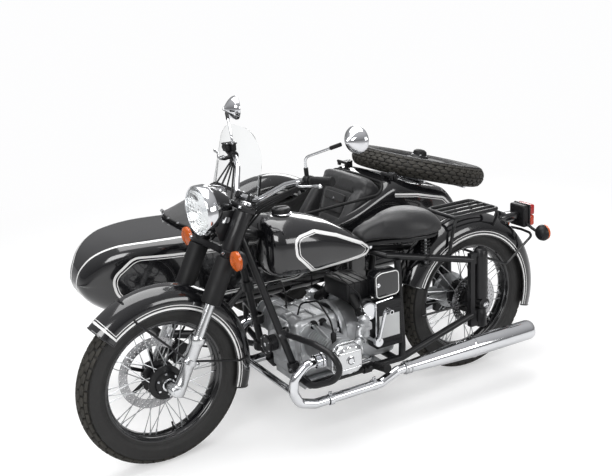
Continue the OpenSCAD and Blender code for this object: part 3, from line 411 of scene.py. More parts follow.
def stations(low, high, count):
    """Steps from low to high that close up towards both ends."""
    return [low + (high - low) * (0.5 - 0.5 * math.cos(math.pi * i / count)) for i in range(count + 1)]


class Parts:
    """Gathers shapes of several materials into one piece."""

    def __init__(self):
        self.points, self.faces, self.looks, self.materials = [], [], [], []

    def add(self, shape, look, matrix=None):
        """Adds a shape in one material, moved by a matrix."""
        points, faces = shape
        start = len(self.points)
        if look not in self.materials:
            self.materials.append(look)
        self.points += [matrix @ Vector(p) if matrix else Vector(p) for p in points]
        self.faces += [[start + i for i in f] for f in faces]
        self.looks += [self.materials.index(look)] * len(faces)
        return self

    def both(self, shape, look, matrix=None):
        """Adds a shape and its mirror image across the motorcycle's middle."""
        points, faces = shape
        points = [matrix @ Vector(p) if matrix else Vector(p) for p in points]
        self.add((points, faces), look)
        return self.add(([flip(p) for p in points], [f[::-1] for f in map(list, faces)]), look)

    def mesh(self, name, angle=34):
        """Makes the object. Edges sharper than angle stay hard."""
        mesh = bpy.data.meshes.new(name)
        mesh.from_pydata([tuple(p) for p in self.points], [], self.faces)
        for m in self.materials:
            mesh.materials.append(m)
        mesh.polygons.foreach_set("material_index", self.looks)
        bm = bmesh.new()
        bm.from_mesh(mesh)
        bmesh.ops.recalc_face_normals(bm, faces=bm.faces[:])
        bm.to_mesh(mesh)
        bm.free()
        mesh.shade_smooth()
        mesh.set_sharp_from_angle(angle=math.radians(angle))
        made = bpy.data.objects.new(name, mesh)
        bpy.context.scene.collection.objects.link(made)
        return made

    def done(self, name, body, slot, *nodes, angle=34):
        """Makes the object and puts it in place of the nodes."""
        return placed(self.mesh(name, angle), body, slot, *nodes)


def placed(piece, body, slot, *nodes):
    """Puts a piece on its body and hides the CAD nodes that it stands for. The slot is not used."""
    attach(piece, body)
    if nodes:
        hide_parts(*nodes)
    return piece


def settle(piece, angle=34):
    """Applies a piece's modifiers to its mesh."""
    bpy.context.view_layer.update()
    shape = bpy.data.meshes.new_from_object(piece.evaluated_get(bpy.context.evaluated_depsgraph_get()))
    piece.modifiers.clear()
    piece.data = shape
    shape.shade_smooth()
    if angle:
        shape.set_sharp_from_angle(angle=math.radians(angle))
    return piece


def thicken(piece, depth, angle):
    """Gives a sheet its thickness."""
    thick = piece.modifiers.new("thickness", "SOLIDIFY")
    thick.thickness = depth
    return settle(piece, angle)


def spaced(path):
    """The path with its points no more than 6 mm apart."""
    step = 0.006
    made = [Vector(path[0])]
    for a, b in zip(path, path[1:]):
        count = max(1, math.ceil((b - a).length / step))
        made += [a + (b - a) * (i / count) for i in range(1, count + 1)]
    return made


def strip(target, path, way, width):
    """A painted line: a path dropped along way (a vector, or a function of the point) onto a mesh."""
    tree = BVHTree.FromObject(target, bpy.context.evaluated_depsgraph_get())
    path = spaced(path)
    points, faces, last = [], [], False
    for i, p in enumerate(path):
        along = (path[min(i + 1, len(path) - 1)] - path[max(i - 1, 0)]).normalized()
        down = (way(p) if callable(way) else Vector(way)).normalized()
        across = along.cross(down).normalized()
        row = []
        for share in (-0.5, -0.17, 0.17, 0.5):
            hit, normal, _, _ = tree.ray_cast(p + across * (share * width), down)
            if hit:
                row.append(hit + (normal if normal.dot(down) < 0 else -normal) * PAINT)
        whole = len(row) == 4
        if whole:
            k = len(points)
            points += row
            if last and (row[1] - points[k - 3]).length < 0.05:
                faces += [(k - 4 + j, k - 3 + j, k + 1 + j, k + j) for j in range(3)]
        last = whole
    return points, faces


# ---- Wheels ------------------------------------------------------------------------------

TYRE_R = 0.345
TREAD_DEEP = 0.008
PITCHES = 46
SPOKES = 20


def crown(t):
    """A point of the tyre's tread surface and its way out, t metres from the middle: (radius, y)."""
    bow = 0.058
    a = t / bow
    return ((TYRE_R - TREAD_DEEP - bow + bow * math.cos(a), 0.92 * bow * math.sin(a)),
            (math.cos(a), math.sin(a)))


def tread_block(outline, angle):
    """One block of the tread: outline rows are (round, across) in metres."""
    middle = [sum(p[i] for p in outline) / len(outline) for i in (0, 1)]
    rings = []
    for size, height in ((1.1, -0.002), (1.0, TREAD_DEEP - 0.0014), (0.86, TREAD_DEEP)):
        ring = []
        for s, t in outline:
            s, t = middle[0] + (s - middle[0]) * size, middle[1] + (t - middle[1]) * size
            (r, y), (out, aside) = crown(t)
            r, y = r + out * height, y + aside * height
            a = angle + s / TYRE_R
            ring.append((r * math.cos(a), y, r * math.sin(a)))
        rings.append(ring)
    points, faces = grid(rings, closed=True)
    return points, faces + [tuple(range(len(points) - len(outline), len(points)))]


def tyre(parts, place):
    """A carcass with three rows of tread blocks on each side."""
    side = [(0.243, 0.030), (0.2475, 0.0365), (0.2515, 0.0395), (0.256, 0.0405), (0.257, 0.0425), (0.262, 0.0445),
            (0.270, 0.0475), (0.272, 0.0492), (0.276, 0.0495), (0.288, 0.0508), (0.300, 0.0503), (0.308, 0.0492),
            (0.3095, 0.0500), (0.314, 0.0490)]
    edge = [crown(0.0495 * math.cos(math.pi * i / 14))[0] for i in range(15)]
    profile = side + edge + [(r, -y) for r, y in reversed(side)]
    parts.add(lathe(profile + [profile[0]], 128), TYRE, place @ UPRIGHT)
    pitch = 2 * math.pi * TYRE_R / PITCHES
    shapes = [
        ([(-0.40, 0.002), (0.30, 0.002), (0.44, 0.010), (0.20, 0.019), (-0.24, 0.019), (-0.46, 0.009)], 0.0),
        ([(-0.40, 0.022), (-0.12, 0.017), (0.12, 0.017), (0.42, 0.023), (0.36, 0.034), (-0.36, 0.034)], 0.5),
        ([(-0.42, 0.037), (0.42, 0.037), (0.40, 0.049), (-0.40, 0.049)], 0.0),
    ]
    for i in range(PITCHES):
        for outline, phase in shapes:
            for way in (-1, 1):
                rows = [(s * pitch, way * t) for s, t in outline]
                angle = 2 * math.pi * (i + phase + (0.5 if way > 0 else 0)) / PITCHES
                parts.add(tread_block(rows, angle), TREAD, place)


def pierced_ring(inner, outer, rows, count, hole, thick):
    """A flat ring about Z with rows of round holes through it."""
    points, faces = [], []
    for row in range(rows):
        r0 = inner + (outer - inner) * row / rows
        r1 = inner + (outer - inner) * (row + 1) / rows
        for i in range(count):
            a0 = 2 * math.pi * (i + 0.5 * (row % 2)) / count
            a1 = a0 + 2 * math.pi / count
            am, rm = (a0 + a1) / 2, (r0 + r1) / 2
            frame_ring = [(r0, a0), (r0, am), (r0, a1), (rm, a1), (r1, a1), (r1, am), (r1, a0), (rm, a0)]
            start = len(points)
            for z in (-thick / 2, thick / 2):
                points += [(r * math.cos(a), r * math.sin(a), z) for r, a in frame_ring]
                middle = Vector((rm * math.cos(am), rm * math.sin(am)))
                for r, a in frame_ring:
                    aim = Vector((r * math.cos(a), r * math.sin(a))) - middle
                    p = middle + aim.normalized() * hole
                    points.append((p.x, p.y, z))
            for k in range(8):
                n = (k + 1) % 8
                faces += [(start + k, start + n, start + 8 + n, start + 8 + k),
                          (start + 16 + k, start + 24 + k, start + 24 + n, start + 16 + n),
                          (start + 8 + k, start + 8 + n, start + 24 + n, start + 24 + k)]
                if k in (0, 1, 4, 5):
                    faces.append((start + k, start + 16 + k, start + 16 + n, start + n))
    return points, faces


def brake_disc(parts, place, side, radius):
    """A drilled disc on a six-armed spider, on one side of a wheel."""
    flat = place @ shift(0, side * 0.072, 0) @ UPRIGHT
    parts.add(pierced_ring(radius - 0.036, radius, 3, 36, 0.0034, 0.005), DISC, flat)
    spider = radius - 0.034
    for i in range(6):
        arm = flat @ Matrix.Rotation(math.pi * i / 3, 4, "Z")
        parts.add(block((0.040, -0.007, -0.004), (spider, 0.007, 0.004), 0.002), SATIN, arm)
        parts.add(drum(0.008, -0.005, 0.005, 16), STEEL,
                  arm @ shift(spider, 0, 0))
    parts.add(lathe([(0.030, -0.016), (0.050, -0.012), (0.052, 0.004), (0.030, 0.006)], 40), SATIN, flat)


def wheel(name, place, body, nodes, disc=0, radius=0.148):
    """A tyre, and a rim, hub and spokes. disc is the side that its brake disc is on, or 0."""
    parts = Parts()
    tyre(parts, place)
    parts.done(name + "_tyre", body, "tyre_rubber", nodes[0], angle=50)
    parts = Parts()
    rim = [(0.2500, 0.0335), (0.2475, 0.0362), (0.2425, 0.0362), (0.2390, 0.0335), (0.2375, 0.0290),
           (0.2345, 0.0250), (0.2300, 0.0225), (0.2270, 0.0160), (0.2258, 0.0080), (0.2255, 0.0)]
    half = rim + [(r, -y) for r, y in reversed(rim[:-1])]
    parts.add(lathe(half + [(0.245, -0.030), (0.236, 0.0), (0.245, 0.030), half[0]], 128), GLOSS, place @ UPRIGHT)
    parts.add(lathe([(0, -0.060), (0.030, -0.060), (0.033, -0.057), (0.046, -0.050), (0.050, -0.042),
                     (0.068, -0.038), (0.070, -0.035), (0.070, -0.030), (0.066, -0.026), (0.045, -0.020),
                     (0.041, 0.0), (0.045, 0.020), (0.066, 0.026), (0.070, 0.030), (0.070, 0.035),
                     (0.068, 0.038), (0.050, 0.042), (0.046, 0.050), (0.033, 0.057), (0.030, 0.060), (0, 0.060)],
                    64), SATIN, place @ UPRIGHT)
    for way in (-1, 1):
        out = place @ outward(way)
        parts.add(lathe([(0.019, 0.058), (0.026, 0.058), (0.026, 0.063), (0.023, 0.065), (0.019, 0.065)], 40),
                  CHROME, out)
        for p in ring_of(6, 0.040):
            parts.add(bolt(0.0042), CHROME, out @ Matrix.Translation(p + Vector((0, 0, 0.0515))))
        for i in range(SPOKES):
            a = 2 * math.pi * (i + way / 4) / SPOKES
            b = a + math.radians(24) * (1 if i % 2 else -1)
            y = way * (0.0345 if i % 2 else 0.0295)
            start = Vector((0.0625 * math.cos(a), y, 0.0625 * math.sin(a)))
            end = Vector((0.2285 * math.cos(b), way * 0.006, 0.2285 * math.sin(b)))
            parts.add(rod(start, end, 0.0019, 8), STEEL, place)
            parts.add(rod(end + (start - end) * 0.09, end, 0.0034, 8), STEEL, place)
            parts.add(drum(0.0036, -0.0035, 0.0035, 10), STEEL,
                      place @ Matrix.Translation(start) @ UPRIGHT)
    valve = Vector((math.cos(4.1), 0, math.sin(4.1)))
    parts.add(rod(valve * 0.226, valve * 0.196, 0.004, 10), RUBBER, place)
    if disc:
        brake_disc(parts, place, disc, radius)
    parts.done(name + "_spoked", body, "satin_black", nodes[1])


wheel("front_wheel", FRONT_WHEEL, "front_wheel", ["front_tyre", "front_wheel"], disc=-1)
wheel("rear_wheel", REAR_WHEEL, "rear_wheel", ["rear_tyre", "rear_wheel"], disc=1, radius=0.122)
wheel("sidecar_wheel", SIDE_WHEEL, "sidecar_wheel", ["sidecar_tyre", "sidecar_wheel"])
wheel("spare_wheel", SPARE_WHEEL, LID, ["spare_tyre", "spare_wheel"])

# ---- Mudguards ---------------------------------------------------------------------------


SHEET = 0.0025  # thickness of a mudguard's sheet
THICK, THIN = 0.009, 0.0028  # widths of the painted pair of lines on a mudguard
ROUND = 72  # steps round a mudguard


def between(start, end, count):
    """Even steps from start to end."""
    return [start + (end - start) * i / count for i in range(count + 1)]


class Guard:
    """A mudguard round an axle: a half-round crown over two skirts, between two angles."""

    def __init__(self, place, radius, half, depth, start, end):
        self.place, self.radius, self.half, self.depth = place, radius, half, depth
        self.start, self.end = math.radians(start), math.radians(end)
        self.quarter = half * math.pi / 2
        self.reach = self.quarter + depth - half

    def point(self, s, angle, lift=0.0):
        """The skin at s metres across from the crown's top, raised by lift."""
        way = 1 if s >= 0 else -1
        a = min(abs(s), self.quarter) / self.half
        r = self.radius - self.half + self.half * math.cos(a) - max(0, abs(s) - self.quarter)
        r += lift * math.cos(a)
        y = way * (self.half + lift) * math.sin(a)
        return self.place @ Vector((r * math.cos(angle), y, r * math.sin(angle)))

    def angles(self):
        return between(self.start, self.end, ROUND)

    def skin(self, parts):
        """The sheet itself, with a rolled edge all round."""
        across = [self.reach * (2 * i / 30 - 1) for i in range(31)]
        rows = [[self.point(s, a) for s in across] + [self.point(s, a, -SHEET) for s in reversed(across)]
                for a in self.angles()]
        parts.add(grid(rows, closed=True, capped=True), GLOSS)
        for s in (-self.reach, self.reach):
            parts.add(tube([self.point(s, a, -0.001) for a in self.angles()], 0.0036, 8), GLOSS)
        for a in (self.start, self.end):
            parts.add(tube([self.point(s, a, -0.001) for s in across], 0.0036, 8), GLOSS)

    def line(self, parts, s, width, start=None, end=None):
        """A painted line round the guard at s, from the angle start to the angle end."""
        a0, a1 = self.start if start is None else start, self.end if end is None else end
        parts.add(grid([[self.point(s + side * width / 2, a, PAINT) for side in (-1, 0, 1)]
                        for a in between(a0, a1, ROUND)]), WHITE)

    def cross_line(self, parts, angle, width, reach):
        """A painted line over the crown from side to side."""
        across = [reach * (2 * i / 30 - 1) for i in range(31)]
        share = width / self.radius / 2
        parts.add(grid([[self.point(s, angle - share, PAINT), self.point(s, angle + share, PAINT)]
                        for s in across]), WHITE)

    def lines(self, parts, both_ends=False):
        """A thick line with a thin one inside it, along both sides and round the front end."""
        low, high = self.quarter + 0.012, self.quarter - 0.001
        first, second = self.start + 0.075, self.start + 0.106
        stop = self.end - (0.06 if both_ends else 0.0)
        for way in (-1, 1):
            self.line(parts, way * low, THICK, first, stop)
            self.line(parts, way * high, THIN, second, stop)
        self.cross_line(parts, first, THICK, low + THICK / 2)
        self.cross_line(parts, second, THIN, high + THIN / 2)


parts = Parts()
front_guard = Guard(FRONT_WHEEL, 0.388, 0.068, 0.086, 20, 172)
front_guard.skin(parts)
front_guard.lines(parts)
for way in (-1, 1):
    band = fork(0.060, way * 0.110, 0.118)
    for angle, s in ((math.radians(42), 0.02), (math.radians(150), 0.075)):
        end = front_guard.point(way * s, angle, 0.003)
        corner = front_guard.point(way * (front_guard.reach - 0.01), angle, 0.006)
        parts.add(tube(bend([band, corner, end], 0.02), 0.0045, 10), SATIN)
    parts.add(drum(0.014, 0, 0.01, 20), POLISHED, facing(band, LEFT_FORK * way))
    bridge = fork(0.060, way * 0.070, 0.200)
    parts.add(rod(bridge, fork(0.060, way * 0.092, 0.204), 0.012), SATIN)
parts.add(tube([front_guard.point(s, math.radians(42), 0.003)
                for s in (-0.02, -0.01, 0, 0.01, 0.02)], 0.0045, 10), SATIN)
parts.done("front_mudguard_skin", FORK, "gloss_black", "front_mudguard")

parts = Parts()
rear_guard = Guard(REAR_WHEEL, 0.392, 0.078, 0.092, 22, 198)
rear_guard.skin(parts)
low, high = rear_guard.quarter + 0.010, rear_guard.quarter - 0.004
for way in (-1, 1):
    rear_guard.line(parts, way * low, THICK)
    rear_guard.line(parts, way * high, THIN)
stay = [at(-0.010, 0.114, 0.560), at(-0.180, 0.088, 0.480), at(-0.335, 0.088, 0.585), at(-0.348, 0.06, 0.592)]
parts.both(tube(bend(stay, 0.03), 0.006, 10), SATIN)
parts.add(tube([at(-0.348, 0.06, 0.592), at(-0.352, 0, 0.594), at(-0.348, -0.06, 0.592)], 0.006, 10), SATIN)
parts.both(tube([at(0.02, 0.10, 0.345), at(0.300, 0.084, 0.340)], 0.005, 10), SATIN)
parts.done("rear_mudguard_skin", BODY, "gloss_black", "rear_mudguard")

parts = Parts()
side_guard = Guard(SIDE_WHEEL, 0.440, 0.076, 0.100, 6, 174)
side_guard.skin(parts)
side_guard.lines(parts, both_ends=True)
parts.add(tube([at(0.250, -0.975, 0.632), at(0.250, -1.068, 0.690)], 0.010), SATIN)
parts.add(tube([at(0.646, -1.022, 0.310), at(0.770, -1.066, 0.420)], 0.009), SATIN)
parts.add(lathe([(0.0263, -0.008), (0.038, -0.008), (0.038, 0.008), (0.0263, 0.008), (0.0263, -0.008)], 40),
          SATIN, facing(at(0.620, -1.022, 0.300), (0, 1, 0)))
parts.done("sidecar_mudguard_skin", BODY, "gloss_black", "sidecar_mudguard")

# ---- Front fork --------------------------------------------------------------------------

LEG_X, LEG_Y = 0.060, 0.110
LOW_YOKE, TOP_YOKE = (0.536, 0.564), (0.722, 0.744)
AXLE_X = (FRONT_AXLE - FOOT).dot(AHEAD_FORK)

parts = Parts()
for way in (-1, 1):
    leg = FORK_FRAME @ shift(LEG_X, way * LEG_Y, 0)
    parts.add(lathe([(0, -0.022), (0.020, -0.022), (0.024, -0.018), (0.026, -0.008), (0.026, 0.030), (0.0245, 0.034),
                     (0.0245, 0.100), (0.0262, 0.104), (0.0262, 0.186), (0.029, 0.192), (0.032, 0.198),
                     (0.0325, 0.214), (0.030, 0.220), (0.021, 0.221), (0.020, 0.352)], 48), POLISHED, leg)
    parts.add(lathe([(0.0262, 0.108), (0.0305, 0.109), (0.0305, 0.127), (0.0262, 0.128)], 40), POLISHED, leg)
    for turn in (0.6, 2.5):
        ear = leg @ Matrix.Rotation(turn, 4, "Z") @ shift(0.031, 0, 0.118)
        parts.add(block((-0.006, -0.005, -0.008), (0.010, 0.005, 0.008), 0.002), POLISHED, ear)
        parts.add(bolt(0.004), CHROME, ear @ shift(0.004, 0.005, 0) @ UPRIGHT)
    parts.add(lathe([(0.021, 0.352), (0.036, 0.352), (0.039, 0.356), (0.039, 0.530), (0.036, 0.5355),
                     (0.021, 0.5355)],
                    48), RUBBER, leg)
    parts.add(lathe([(0.022, 0.535), (0.032, 0.564), (0.0335, 0.570), (0.0335, 0.716), (0.032, 0.722),
                     (0.022, 0.722)],
                    40), SATIN, leg)
    parts.add(lathe([(0.022, 0.720), (0.022, 0.748), (0.0185, 0.7485), (0.0185, 0.757), (0.014, 0.760), (0, 0.760)],
                    40), CHROME, leg)
    lug = FORK_FRAME @ shift(AXLE_X, way * LEG_Y, 0) @ UPRIGHT
    parts.add(lathe([(0, -0.025), (0.021, -0.025), (0.024, -0.021), (0.024, 0.021), (0.021, 0.025), (0, 0.025)], 40),
              POLISHED, lug)
    parts.add(block((LEG_X - 0.004, way * LEG_Y - 0.016, -0.020), (AXLE_X, way * LEG_Y + 0.016, 0.020), 0.005),
              POLISHED, FORK_FRAME)
    out = FORK_FRAME @ shift(AXLE_X, way * 0.135, 0) @ outward(way)
    parts.add(lathe([(0, 0), (0.0145, 0), (0.0145, 0.004), (0.009, 0.006), (0, 0.006)], 6), CHROME, out)
    pinch = FORK_FRAME @ shift(AXLE_X + 0.012, way * (LEG_Y + 0.006), -0.020)
    parts.add(bolt(0.0045, 0.006), CHROME, pinch @ Matrix.Rotation(math.pi, 4, "X"))
parts.add(rod(FORK_FRAME @ Vector((AXLE_X, -0.135, 0)), FORK_FRAME @ Vector((AXLE_X, 0.135, 0)), 0.010), STEEL)
parts.done("fork_tubes", FORK, "polished_aluminium", "fork_legs")

parts = Parts()
outline = [(-0.008, 0.075), (0.010, 0.110), (0.028, 0.138), (0.055, 0.146), (0.088, 0.138), (0.094, 0.110),
           (0.070, 0.075), (0.052, 0.040), (0.048, 0)]
outline = outline + [(x, -y) for x, y in reversed(outline[:-1])]
outline += [(-0.012, -0.035), (-0.030, -0.015), (-0.030, 0.015), (-0.012, 0.035)]
for low, high in (LOW_YOKE, TOP_YOKE):
    parts.add(plate(outline, low, high, 0.005, 3), SATIN, FORK_FRAME)
    for way in (-1, 1):
        pinch = FORK_FRAME @ shift(0.094, way * 0.128, (low + high) / 2)
        parts.add(bolt(0.005, 0.006), CHROME, pinch @ AHEAD)
        parts.add(lathe([(0.022, high), (0.030, high), (0.028, high + 0.004), (0.022, high + 0.004)], 32), SATIN,
                  FORK_FRAME @ shift(LEG_X, way * LEG_Y, 0))
parts.add(rod(fork(0, 0, LOW_YOKE[0]), fork(0, 0, 0.752), 0.014), SATIN)
parts.add(bolt(0.017, 0.010), CHROME, FORK_FRAME @ shift(0, 0, TOP_YOKE[1]))
for way in (-1, 1):
    riser = FORK_FRAME @ shift(0, way * 0.044, TOP_YOKE[1])
    parts.add(lathe([(0.017, 0), (0.014, 0.006), (0.013, 0.014), (0.015, 0.022)], 28), SATIN, riser)
    parts.add(block((-0.017, -0.014, 0.014), (0.017, 0.014, 0.044), 0.005, 3), SATIN, riser)
    for x in (-0.011, 0.011):
        parts.add(bolt(0.0042), CHROME, riser @ shift(x, 0, 0.043))
    ear = [(0.045, 0.60), (0.100, 0.585), (0.150, 0.640), (0.150, 0.690), (0.085, 0.715), (0.040, 0.690)]
    upright = FORK_FRAME @ ON_EDGE
    parts.add(plate(ear, -way * 0.083 - 0.003, -way * 0.083 + 0.003, 0.002), SATIN, upright)
    for x, z in ((0.112, 0.662), (0.075, 0.642)):
        parts.add(bolt(0.0065, 0.005), CHROME, facing(fork(x, way * 0.086, z), LEFT_FORK * way))
parts.done("yoke_castings", FORK, "satin_black", "fork_yokes")

parts = Parts()
caliper = FORK_FRAME @ shift(0, -0.072, 0)
outline = [(-0.024, 0.060), (-0.012, 0.146), (0.020, 0.150), (0.036, 0.128), (0.036, 0.078), (0.016, 0.058)]
for low, high in ((-0.024, -0.0065), (0.0065, 0.020)):
    parts.add(plate(outline, low, high, 0.004, 3), PLASTIC, caliper @ ON_EDGE)
for x, z in ((0.0, 0.122), (0.004, 0.086)):
    parts.add(lathe([(0, 0), (0.014, 0), (0.013, 0.005), (0, 0.005)], 32), STEEL,
              facing(caliper @ Vector((x, -0.023, z)), -LEFT_FORK))
parts.add(block((0.020, -0.046, 0.078), (0.056, -0.026, 0.126), 0.004), PLASTIC, caliper)
hose = [fork(0.022, -0.098, 0.140), fork(-0.01, -0.112, 0.20), fork(0.005, -0.135, 0.32), fork(0.02, -0.150, 0.48),
        fork(-0.01, -0.120, 0.60), fork(-0.03, -0.095, 0.70)]
parts.add(tube(bend(hose, 0.06), 0.0045, 10), RUBBER)
parts.done("caliper_casting", FORK, "black_plastic", "brake_caliper")

# ---- Headlamp ------------------------------------------------------------------------------

lamp = TURN @ facing(at(1.296, 0, 0.983), (1, 0, 0))
parts = Parts()
parts.add(lathe([(0, -0.142), (0.020, -0.141), (0.042, -0.134), (0.062, -0.119), (0.076, -0.098), (0.085, -0.072),
                 (0.0895, -0.048), (0.089, -0.040)], 72), GLOSS, lamp)
parts.add(lathe([(0.090, -0.047), (0.0955, -0.0465), (0.098, -0.042), (0.0982, -0.012), (0.0965, -0.005),
                 (0.0935, -0.0015), (0.0915, -0.003), (0.0905, -0.012), (0.090, -0.047)], 72), CHROME, lamp)
parts.add(lathe([(0.090, -0.013), (0.080, -0.030), (0.060, -0.048), (0.036, -0.060), (0.016, -0.065), (0.0, -0.065)],
                72), MIRROR, lamp)
parts.add(lathe([(0, -0.026), (0.005, -0.028), (0.008, -0.036), (0.007, -0.062), (0, -0.064)], 24), CHROME, lamp)
parts.add(lathe([(0, -0.018), (0.012, -0.020), (0.013, -0.024), (0, -0.026)], 24), CHROME, lamp)
parts.add(bolt(0.004, 0.005), CHROME, lamp @ shift(-0.0975, 0, -0.025) @ Matrix.Rotation(-1.57, 4, "Y"))
parts.both(rod(turned(1.215, 0.088, 0.955), turned(1.215, 0.092, 0.955), 0.012), CHROME)
dial = TURN @ facing(at(1.205, 0, 1.052), (-0.18, 0, 1))
parts.add(lathe([(0.0, 0.010), (0.026, 0.010), (0.030, 0.012), (0.033, 0.008), (0.034, -0.012)], 48), CHROME, dial)
parts.add(lathe([(0, 0.011), (0.0262, 0.011)], 48), PLASTIC, dial)
parts.done("headlamp_shell", FORK, "gloss_black", "headlamp")

parts = Parts()
rows = []
for k in range(25):
    r = 0.0905 * k / 24
    ribs = []
    for i in range(96):
        a = 2 * math.pi * i / 96
        flute = 0.0011 * math.cos(420 * r * math.cos(a)) * (1 if r * math.sin(a) > -0.03 else 0.25)
        ribs.append((r * math.cos(a), r * math.sin(a), 0.0085 * (1 - (k / 24) ** 2.4) - 0.008 + flute * (k < 24)))
    rows.append(ribs)
lens = Parts().add(grid(rows, closed=True), FLUTED, lamp @ Matrix.Rotation(math.pi / 2, 4, "Z")).mesh("lamp_lens", 80)
thicken(lens, 0.003, 80)
placed(lens, FORK, "lamp_glass", "headlamp_glass")

# ---- Handlebar, grips, levers and mirrors ----------------------------------------------------

BAR_MID = FOOT - BASE + (TOP_YOKE[1] + 0.028) * UP_FORK
BAR = [BAR_MID + Vector(p) for p in ((0, 0, 0), (0, 0.074, 0), (-0.072, 0.178, 0.074), (-0.104, 0.256, 0.101),
                                     (-0.138, 0.388, 0.116))]


def bar(way, x=0.0, y=0.0, z=0.0, t=0.0):
    """A point by the straight end of the bar: a share t along it, then an offset, on the side way."""
    p = BAR[3] + t * (BAR[4] - BAR[3]) + Vector((x, y, z))
    return turned(p.x, way * p.y, p.z)


parts = Parts()
half = bend([turned(*p) for p in BAR], 0.07, 10)
other = bend([turned(p.x, -p.y, p.z) for p in BAR], 0.07, 10)
parts.add(tube(list(reversed(other)) + half[1:], 0.011, 24), CHROME)
parts.done("handlebar_tube", FORK, "chrome", "handlebar")

parts = Parts()
for way in (-1, 1):
    out = (bar(way, t=1) - bar(way, t=0)).normalized()
    grip = facing(bar(way, t=0.26), out)
    ribs = [(0.0112, 0), (0.0185, 0.0), (0.0190, 0.004), (0.0165, 0.008)]
    ribs += [(0.0160 + 0.0008 * (k % 2), 0.012 + 0.0032 * k) for k in range(26)]
    parts.add(lathe(ribs + [(0.0175, 0.098), (0.0178, 0.103), (0.014, 0.106), (0, 0.106)], 32), RUBBER, grip)
parts.done("grip_rubbers", FORK, "rubber", "grips")

parts = Parts()
for way in (-1, 1):
    out = (bar(way, t=1) - bar(way, t=0)).normalized()
    housing = facing(bar(way, t=0.05), out)
    parts.add(lathe([(0.0115, 0), (0.019, 0), (0.0205, 0.003), (0.0205, 0.021), (0.019, 0.024), (0.0115, 0.024)], 32),
              PLASTIC, housing)
    parts.add(tube(bend([bar(way, 0.010, 0, -0.002, 0.12), bar(way, 0.040, 0.004, -0.008, 0.12),
                         bar(way, 0.054, 0.012, -0.008, 0.2)], 0.01), 0.0085, 14), PLASTIC)
    lever = bend([bar(way, 0.050, 0.006, -0.008, 0.12), bar(way, 0.064, 0.002, -0.010, 0.35),
                  bar(way, 0.050, 0, -0.009, 0.72), bar(way, 0.052, 0, -0.008, 0.98)], 0.06, 10)
    parts.add(tube(lever, lambda t: 0.0062 - 0.0022 * math.sin(math.pi * t), 14), POLISHED)
    end = facing(lever[-1], out)
    parts.add(lathe([(0.0, -0.0085), (0.005, -0.007), (0.0083, -0.002), (0.0083, 0.002), (0.005, 0.007), (0, 0.0085)],
                    24), POLISHED, end)
    parts.add(drum(0.006, 0, 0.01, 20), CHROME,
              facing(bar(way, 0.046, 0.006, -0.004, 0.12), (0, 0, 1)))
    parts.add(lathe([(0.0, -0.012), (0.006, -0.010), (0.0075, 0.0), (0.0055, 0.014)], 20), RUBBER,
              facing(bar(way, 0.016, -0.004, -0.016, 0.08), (0.4, -way * 0.9, -0.5)))
parts.add(block((-0.018, -0.034, 0.014), (0.030, 0.004, 0.044), 0.004, 3), PLASTIC,
          Matrix.Translation(bar(-1, t=0.2)))
parts.add(block((-0.021, -0.037, 0.043), (0.033, 0.007, 0.049), 0.0025, 3), PLASTIC,
          Matrix.Translation(bar(-1, t=0.2)))
for x, y in ((-0.014, -0.030), (0.026, -0.030), (-0.014, 0), (0.026, 0)):
    parts.add(bolt(0.0024, 0.002), CHROME, Matrix.Translation(bar(-1, x, 0, 0.049, 0.2) + Vector((0, y, 0))))
parts.done("hand_levers", FORK, "black_plastic", "hand_controls")

parts = Parts()
for way in (-1, 1):
    for k in range(4):
        start = bar(way, 0.022 - 0.006 * k, 0.0, -0.018 - 0.003 * k, -0.02)
        mid = turned(1.135 - 0.020 * k, way * (0.160 - 0.014 * k), 1.010 - 0.012 * k)
        low = turned(1.150 - 0.010 * k, way * (0.062 + 0.004 * k), 0.900)
        end = turned(1.172 - 0.006 * k, way * (0.050 + 0.005 * k), 0.865)
        parts.add(tube(bend([start, mid, low, end], 0.08, 10), 0.0036 + 0.0006 * (k % 2), 8), RUBBER)
parts.done("control_cables", FORK, "rubber")

parts = Parts()
MIRROR_BALL = Vector((0.862, 0.432, 1.262))
for way in (-1, 1):
    root = bar(way, 0, 0, 0.020, 0.1)
    knee = bar(way, 0.006, 0, 0.088, 0.1)
    neck = turned(MIRROR_BALL.x + 0.050, way * (MIRROR_BALL.y - 0.022), MIRROR_BALL.z - 0.012)
    parts.add(tube(bend([root, knee, neck], 0.03), 0.0048, 14), CHROME)
    parts.add(tube([root, root + (knee - root) * 0.42], 0.0085, 16), RUBBER)
    parts.add(tube([neck + (knee - neck) * 0.28, neck], 0.0075, 16), RUBBER)
    look = TURN.to_3x3() @ Vector((math.cos(0.21), way * math.sin(0.21), 0))
    shell = facing(turned(MIRROR_BALL.x, way * MIRROR_BALL.y, MIRROR_BALL.z), look)
    parts.add(lathe([(0.048, -0.0105), (0.0505, -0.0125), (0.052, -0.009), (0.0512, -0.001), (0.047, 0.008),
                     (0.040, 0.017), (0.030, 0.027), (0.019, 0.036), (0.010, 0.043), (0.006, 0.050), (0, 0.052)], 56),
              CHROME, shell)
    parts.add(lathe([(0, -0.0095), (0.049, -0.0105)], 56), MIRROR, shell)
parts.done("mirror_heads", FORK, "chrome", "mirrors")


def lens(parts, place, look, radius=0.036):
    """A round lamp on a black bowl, with a ribbed lens, facing Z."""
    parts.add(lathe([(0, -0.024), (0.010, -0.024), (0.024, -0.019), (0.034, -0.008), (0.038, 0.004), (0.038, 0.009)],
                    40), PLASTIC, place)
    ribs = [(radius + 0.001 - 0.0010 * (k % 2), 0.009 + 0.0016 * k) for k in range(9)]
    ribs += [(radius - 0.004, 0.0245), (0.026, 0.0275)]
    ribs += [(0.026 - 0.0026 * k, 0.0275 + 0.0008 * (k % 2)) for k in range(1, 10)]
    parts.add(lathe(ribs + [(0, 0.029)], 40), look, place)


